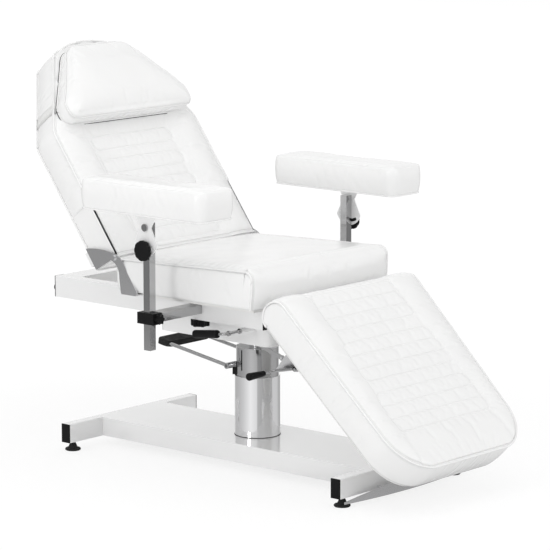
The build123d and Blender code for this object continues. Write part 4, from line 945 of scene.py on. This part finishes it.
def seat_cushion():
    """The seat: its face rolls over a lip and falls down the front."""
    lip = seat_front - seat_lip_r
    u = np.arange(seat_rear, lip, seat_grid)
    n = seat_top - seat_room - seat_rear_drop * (lip - u) / (lip - seat_rear)
    turn = np.linspace(pi / 2, seat_lip_end, seat_lip_rows)
    lip_u = lip + seat_lip_r * np.cos(turn)
    lip_n = seat_top - seat_room + seat_lip_r * (np.sin(turn) - 1)
    fall = np.linspace(0, 1, seat_front_rows)[1:]
    face_u = np.concatenate((u, lip_u, lip_u[-1] - seat_front_tuck * fall ** 2))
    face_n = np.concatenate((n, lip_n, lip_n[-1] + (seat_under - lip_n[-1]) * fall))
    low_u = np.minimum(face_u, lip)
    bend = len(u)
    low_u[bend:] = np.linspace(u[-1], face_u[-1], len(face_u) - bend + 1)[1:]
    half = np.full_like(face_u, seat_half - seat_inset)
    return cushion("seat_cushion", seat_frame,
                   (face_u, face_n, low_u, np.full_like(face_u, seat_under), half, 0 * face_u),
                   across(seat_half - seat_inset), seat_form, seat_sewn, side_bulge=7 * mm,
                   side_tuck=1 * mm, piping=piping_r, nose=bend, seed=5)


# armrests
rest_corner = 28 * mm
rest_dish = 4 * mm
rest_inset = 4 * mm
rest_end_inset = 5 * mm
rest_room = 4 * mm
rest_roll = 20 * mm
rest_roll_drop = 10 * mm
rest_grid = 5 * mm
rest_sag = 1.5 * mm
rest_sag_size = 0.12
rest_seeds = {"left": 6, "right": 7}


def arm_form(x, u, run, half):
    """Armrest face: rolled edges round a shallow dish."""
    length = run.max()
    edge = np.minimum(half - np.abs(x), np.minimum(run, length - run))
    dish = (1 - (x / half) ** 2) * np.sin(pi * np.clip(run / length, 0, 1)) ** 0.5
    sag = hollows(x, u, rest_sag, rest_sag_size, 23)
    return roll(edge, rest_roll, rest_roll_drop) - rest_dish * dish + sag


def arm_cushion(side):
    """The cushion of one armrest, in its node's box."""
    low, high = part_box(f"arm_pad_{side}")
    half = (high.x - low.x) / 2 - rest_inset
    reach = (high.y - low.y) / 2 - rest_end_inset
    shape = outline([(0, -reach), (half, -reach, rest_corner), (half, reach, rest_corner),
                     (0, reach)])[1:-1]
    u = np.unique(np.concatenate((np.arange(-reach, reach, rest_grid), shape[:, 1])))
    width = np.interp(u, shape[:, 1], shape[:, 0])
    place = Matrix.Translation(((low.x + high.x) / 2, (low.y + high.y) / 2, 0))
    face_n = np.full_like(u, high.z - rest_room)
    low_n = np.full_like(u, low.z)
    return cushion(f"arm_cushion_{side}", place, (u, face_n, u, low_n, width, 0 * u), across(half),
                   arm_form, unsewn, side_bulge=3 * mm, side_tuck=4 * mm, low_piping=2.4 * mm,
                   cap=6 * mm, wrinkle=0.9 * mm, seed=rest_seeds[side])


# strap of the head pillow
strap_u = 520 * mm
strap_wide = 34 * mm
strap_thick = 1.0 * mm
strap_lift = 0.2 * mm
strap_steps = 220


def strap_band(carrier):
    """A flat elastic band drawn round the backrest, close to its cover."""
    inverse = back_frame.inverted()
    tree = BVHTree.FromPolygons([inverse @ v.co for v in carrier.data.vertices],
                                [p.vertices[:] for p in carrier.data.polygons])
    centre_n = (back_face + back_rear) / 2
    angles = np.linspace(-1.25 * pi, 0.25 * pi, strap_steps)
    points = []
    for angle in angles:
        out = Vector((cos(angle), 0, sin(angle)))
        for across_band in (-0.5, 0.5):
            centre = Vector((0, strap_u + across_band * strap_wide, centre_n))
            hit = tree.ray_cast(centre + out, -out)[0]
            for lift in (strap_lift, strap_thick):
                points.append(hit + out * lift)
    faces = []
    for i in range(len(angles) - 1):
        a, b = 4 * i, 4 * i + 4
        for left, right in ((1, 3), (3, 2), (2, 0), (0, 1)):
            faces.append((a + left, a + right, b + right, b + left))
    faces += [(0, 1, 3, 2), (b + 2, b + 3, b + 1, b)]
    return mesh_object("strap_band", points, faces, back_frame, finish["strap_web"])


# tilt knobs: a round head with shallow flutes on a narrower hub, as shares along and out
flutes = 9
flute_share = 0.05
flute_from = 0.7
knob_steps = 144
knob_profile = ((0.0, 0.0), (0.0, 0.42), (0.3, 0.45), (0.32, 0.9), (0.36, 0.98), (0.44, 1.0),
                (0.82, 1.0), (0.93, 0.96), (0.98, 0.88), (1.0, 0.76), (0.97, 0.6), (0.95, 0.3),
                (0.95, 0.0))


def fluted_knob(side, outward):
    """The tilt knob of one armrest, turned about x in the place of its node."""
    low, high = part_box(f"tilt_knob_{side}")
    middle_y, middle_z = (low.y + high.y) / 2, (low.z + high.z) / 2
    radius = (high.z - low.z) / 2
    inner = high.x if outward < 0 else low.x
    turns = np.linspace(0, 2 * pi, knob_steps, endpoint=False)
    fluted = 1 - flute_share * (0.5 - 0.5 * np.cos(flutes * turns)) ** 3
    points = []
    for along, share in knob_profile:
        reach = radius * share * (fluted if share > flute_from else 1 + 0 * turns)
        x = np.full_like(turns, inner + outward * along * (high.x - low.x))
        y, z = middle_y + reach * np.cos(turns), middle_z + reach * np.sin(turns)
        points.append(np.stack((x, y, z), -1))
    count = len(turns)
    faces = []
    for k in range(len(knob_profile) - 1):
        for i in range(count):
            j = (i + 1) % count
            quad = (k * count + i, k * count + j, (k + 1) * count + j, (k + 1) * count + i)
            faces.append(quad if outward > 0 else tuple(reversed(quad)))
    return mesh_object(f"fluted_knob_{side}", np.concatenate(points), faces, Matrix(),
                       finish["black_plastic"])


# thin dark lines: a black ring at the foot of the column cover, and a painted shadow line under the pillow
dark_ring_r = 1.0 * mm
dark_ring_gap = 0.2 * mm
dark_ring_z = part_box("base_beam")[1].z + dark_ring_r
dark_ring_steps = 160
gap_line_r = 1.5 * mm
gap_line_drop = 0.1 * mm


def foot_dark_ring():
    """A thin black ring round the foot of the column cover, where it stands on the beam."""
    radius = (cover_high.x - cover_low.x) / 2 + dark_ring_gap
    turns = np.linspace(0, 2 * pi, dark_ring_steps, endpoint=False)
    path = np.stack((column_x + radius * np.cos(turns), column_y + radius * np.sin(turns),
                     np.full_like(turns, dark_ring_z)), -1)
    points, faces = tube_mesh(path, dark_ring_r, True)
    return mesh_object("foot_dark_ring", points, faces, Matrix(), finish["black_rubber"])


def pillow_gap_line():
    """A black tube in the gap between the pillow's rim and the backrest: a painted shadow line where the gap holds
    only shade.
    """
    path = rim_lines["pillow_cushion"] - np.array([0, 0, gap_line_drop])
    points, faces = tube_mesh(path, gap_line_r, True)
    return mesh_object("pillow_gap_painted_shadow", points, faces, back_frame, finish["black_rubber"])


def dress(piece, body, nodes):
    """Put a piece on its body, in place of the nodes that it stands for."""
    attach(piece, body)
    if nodes:
        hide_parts(*nodes)


backrest = back_cushion()
dress(backrest, "back", ["back_pad"])
dress(strap_band(backrest), "back", ["pillow_strap"])
dress(pillow_cushion(), "back", ["head_pillow"])
dress(leg_cushion(), "leg", ["leg_pad"])
dress(seat_cushion(), "lift", ["seat_pad"])
for side in ("left", "right"):
    dress(arm_cushion(side), f"rest_{side}", [f"arm_pad_{side}"])
    knob = fluted_knob(side, -1 if side == "left" else 1)
    dress(knob, f"tilt_clamp_{side}", [f"tilt_knob_{side}"])
# painted shadow: a black line where the pillow meets the backrest
dress(pillow_gap_line(), "back", [])
dress(foot_dark_ring(), "base", [])


# studio
# pale and grey panels round the chair: share of a turn, tone
reflection_bands = ((0.0, 0.9), (0.022, 0.95), (0.065, 0.87), (0.105, 0.8), (0.115, 0.5),
                    (0.18, 0.43), (0.25, 0.38), (0.32, 0.4), (0.335, 0.66), (0.42, 0.65),
                    (0.47, 0.5), (0.51, 0.34), (0.55, 0.7), (0.6, 0.95), (0.66, 0.95),
                    (0.72, 0.47), (0.835, 0.55), (0.912, 0.67), (0.977, 0.83), (1.0, 0.9))
ambient = 0.82
floor_tone = 0.93
floor_half = 14.0
floor_near = 0.9
floor_far = 2.2
floor_lift = 0.78
floor_white = 1.03
mirror_near = 1.8
mirror_far = 3.2
mirror_fall = 0.5


def light_bands(tree, direction, color):
    """Studio reflections by direction: pale and grey panels that follow each other round."""
    axes = tree.nodes.new("ShaderNodeSeparateXYZ")
    tree.links.new(direction, axes.inputs[0])
    turn = tree.nodes.new("ShaderNodeMath")
    turn.operation = "ARCTAN2"
    tree.links.new(axes.outputs["Y"], turn.inputs[0])
    tree.links.new(axes.outputs["X"], turn.inputs[1])
    share = tree.nodes.new("ShaderNodeMapRange")
    share.inputs["From Min"].default_value = -pi
    share.inputs["From Max"].default_value = pi
    tree.links.new(turn.outputs[0], share.inputs["Value"])
    ramp = tree.nodes.new("ShaderNodeValToRGB")
    stops = ramp.color_ramp.elements
    for place, _ in reflection_bands[1:-1]:
        stops.new(place)
    for stop, (place, tone) in zip(stops, reflection_bands):
        stop.position = place
        stop.color = (tone, tone, tone, 1)
    tree.links.new(share.outputs["Result"], ramp.inputs["Fac"])
    tree.links.new(ramp.outputs["Color"], color)


def either_ray(tree, names):
    """1 for the ray kinds that are named, else 0."""
    path = tree.nodes.new("ShaderNodeLightPath")
    result = path.outputs[names[0]]
    for name in names[1:]:
        most = tree.nodes.new("ShaderNodeMath")
        most.operation = "MAXIMUM"
        tree.links.new(result, most.inputs[0])
        tree.links.new(path.outputs[name], most.inputs[1])
        result = most.outputs[0]
    return result


def mixed(tree, factor, first, second):
    """Two shaders mixed by a factor."""
    mix = tree.nodes.new("ShaderNodeMixShader")
    tree.links.new(factor, mix.inputs[0])
    tree.links.new(first, mix.inputs[1])
    tree.links.new(second, mix.inputs[2])
    return mix.outputs[0]


def white_world():
    """White for the camera, soft light for surfaces, pale panels for reflections."""
    world = bpy.data.worlds.new("studio")
    bpy.context.scene.world = world
    world.use_nodes = True
    tree = world.node_tree
    tree.nodes.clear()

    def glow(strength):
        node = tree.nodes.new("ShaderNodeBackground")
        node.inputs["Color"].default_value = (1, 1, 1, 1)
        node.inputs["Strength"].default_value = strength
        return node

    light = glow(ambient)
    seen = glow(1.0)
    mirrored = glow(1.0)
    place = tree.nodes.new("ShaderNodeTexCoord")
    light_bands(tree, place.outputs["Generated"], mirrored.inputs["Color"])
    glossy = mixed(tree, either_ray(tree, ["Is Glossy Ray"]), light.outputs[0], mirrored.outputs[0])
    direct = either_ray(tree, ["Is Camera Ray", "Is Transmission Ray"])
    whole = mixed(tree, direct, glossy, seen.outputs[0])
    output = tree.nodes.new("ShaderNodeOutputWorld")
    tree.links.new(whole, output.inputs[0])


def white_floor():
    """Pale floor that keeps the chair's shadow and turns to white further out."""
    material, tree, shader = new_material("floor", (floor_tone, floor_tone, floor_tone), 0.9)
    speck = clouds(tree, 3.0, 2.0)
    tint(tree, speck, (0.925, 0.925, 0.925), (0.94, 0.94, 0.94), shader)
    place = tree.nodes.new("ShaderNodeTexCoord")
    reach = tree.nodes.new("ShaderNodeVectorMath")
    reach.operation = "LENGTH"
    tree.links.new(place.outputs["Object"], reach.inputs[0])
    ring = tree.nodes.new("ShaderNodeMapRange")
    ring.interpolation_type = "SMOOTHSTEP"
    ring.inputs["From Min"].default_value = floor_near
    ring.inputs["From Max"].default_value = floor_far
    ring.inputs["To Min"].default_value = floor_lift
    tree.links.new(reach.outputs["Value"], ring.inputs["Value"])
    white = tree.nodes.new("ShaderNodeEmission")
    white.inputs["Strength"].default_value = floor_white
    mirrored = tree.nodes.new("ShaderNodeEmission")
    light_bands(tree, place.outputs["Object"], mirrored.inputs["Color"])
    fall = tree.nodes.new("ShaderNodeMapRange")
    fall.inputs["From Min"].default_value = mirror_near
    fall.inputs["From Max"].default_value = mirror_far
    fall.inputs["To Min"].default_value = 1.0
    fall.inputs["To Max"].default_value = mirror_fall
    tree.links.new(reach.outputs["Value"], fall.inputs["Value"])
    tree.links.new(fall.outputs["Result"], mirrored.inputs["Strength"])
    seen = mixed(tree, ring.outputs["Result"], shader.outputs[0], white.outputs[0])
    direct = either_ray(tree, ["Is Camera Ray", "Is Transmission Ray"])
    plain = mixed(tree, direct, shader.outputs[0], seen)
    whole = mixed(tree, either_ray(tree, ["Is Glossy Ray"]), plain, mirrored.outputs[0])
    tree.links.new(whole, tree.nodes["Material Output"].inputs["Surface"])
    mesh = bpy.data.meshes.new("floor")
    corners = [(x * floor_half, y * floor_half, 0) for x, y in ((-1, -1), (1, -1), (1, 1), (-1, 1))]
    mesh.from_pydata(corners, [], [(0, 1, 2, 3)])
    mesh.materials.append(material)
    floor = bpy.data.objects.new("floor", mesh)
    floor.location = (column_x, column_y, 0)
    bpy.context.scene.collection.objects.link(floor)


def lamp(name, place, aim, size, power):
    """A square soft lamp that points at a place."""
    data = bpy.data.lights.new(name, "AREA")
    data.size = size
    data.energy = power
    lamp_object = bpy.data.objects.new(name, data)
    lamp_object.location = place
    lamp_object.rotation_euler = (Vector(aim) - Vector(place)).to_track_quat("-Z", "Y").to_euler()
    bpy.context.scene.collection.objects.link(lamp_object)


bpy.context.scene.view_settings.view_transform = "Standard"
white_world()
white_floor()
middle = (column_x, column_y, 0.6)
lamp("overhead", (-1.0, -0.7, 3.3), (column_x, 0.1, 0.8), 2.2, 17)
lamp("side", (-4.6, 0.15, 1.5), (column_x, 0.05, 0.65), 0.9, 25)
lamp("front", (1.2, -4.6, 1.8), middle, 1.6, 22)
lamp("rear", (1.2, 3.4, 3.0), middle, 2.2, 3)

# camera: found from the pixels of the chair's rails, posts and feet in the photograph
camera_place = Vector((column_x - 6.7389, column_y - 5.8898, 2.1419))
camera_azimuth = radians(-49.19)
camera_elevation = radians(9.89)
camera_lens = 195.25
backward = Vector((sin(camera_azimuth) * cos(camera_elevation),
                   -cos(camera_azimuth) * cos(camera_elevation), sin(camera_elevation)))
camera_data = bpy.data.cameras.new("camera")
camera_data.lens = camera_lens
camera_data.sensor_width = 36.0
camera = bpy.data.objects.new("camera", camera_data)
camera.location = camera_place
camera.rotation_euler = backward.to_track_quat("Z", "Y").to_euler()
bpy.context.scene.collection.objects.link(camera)
bpy.context.scene.camera = camera
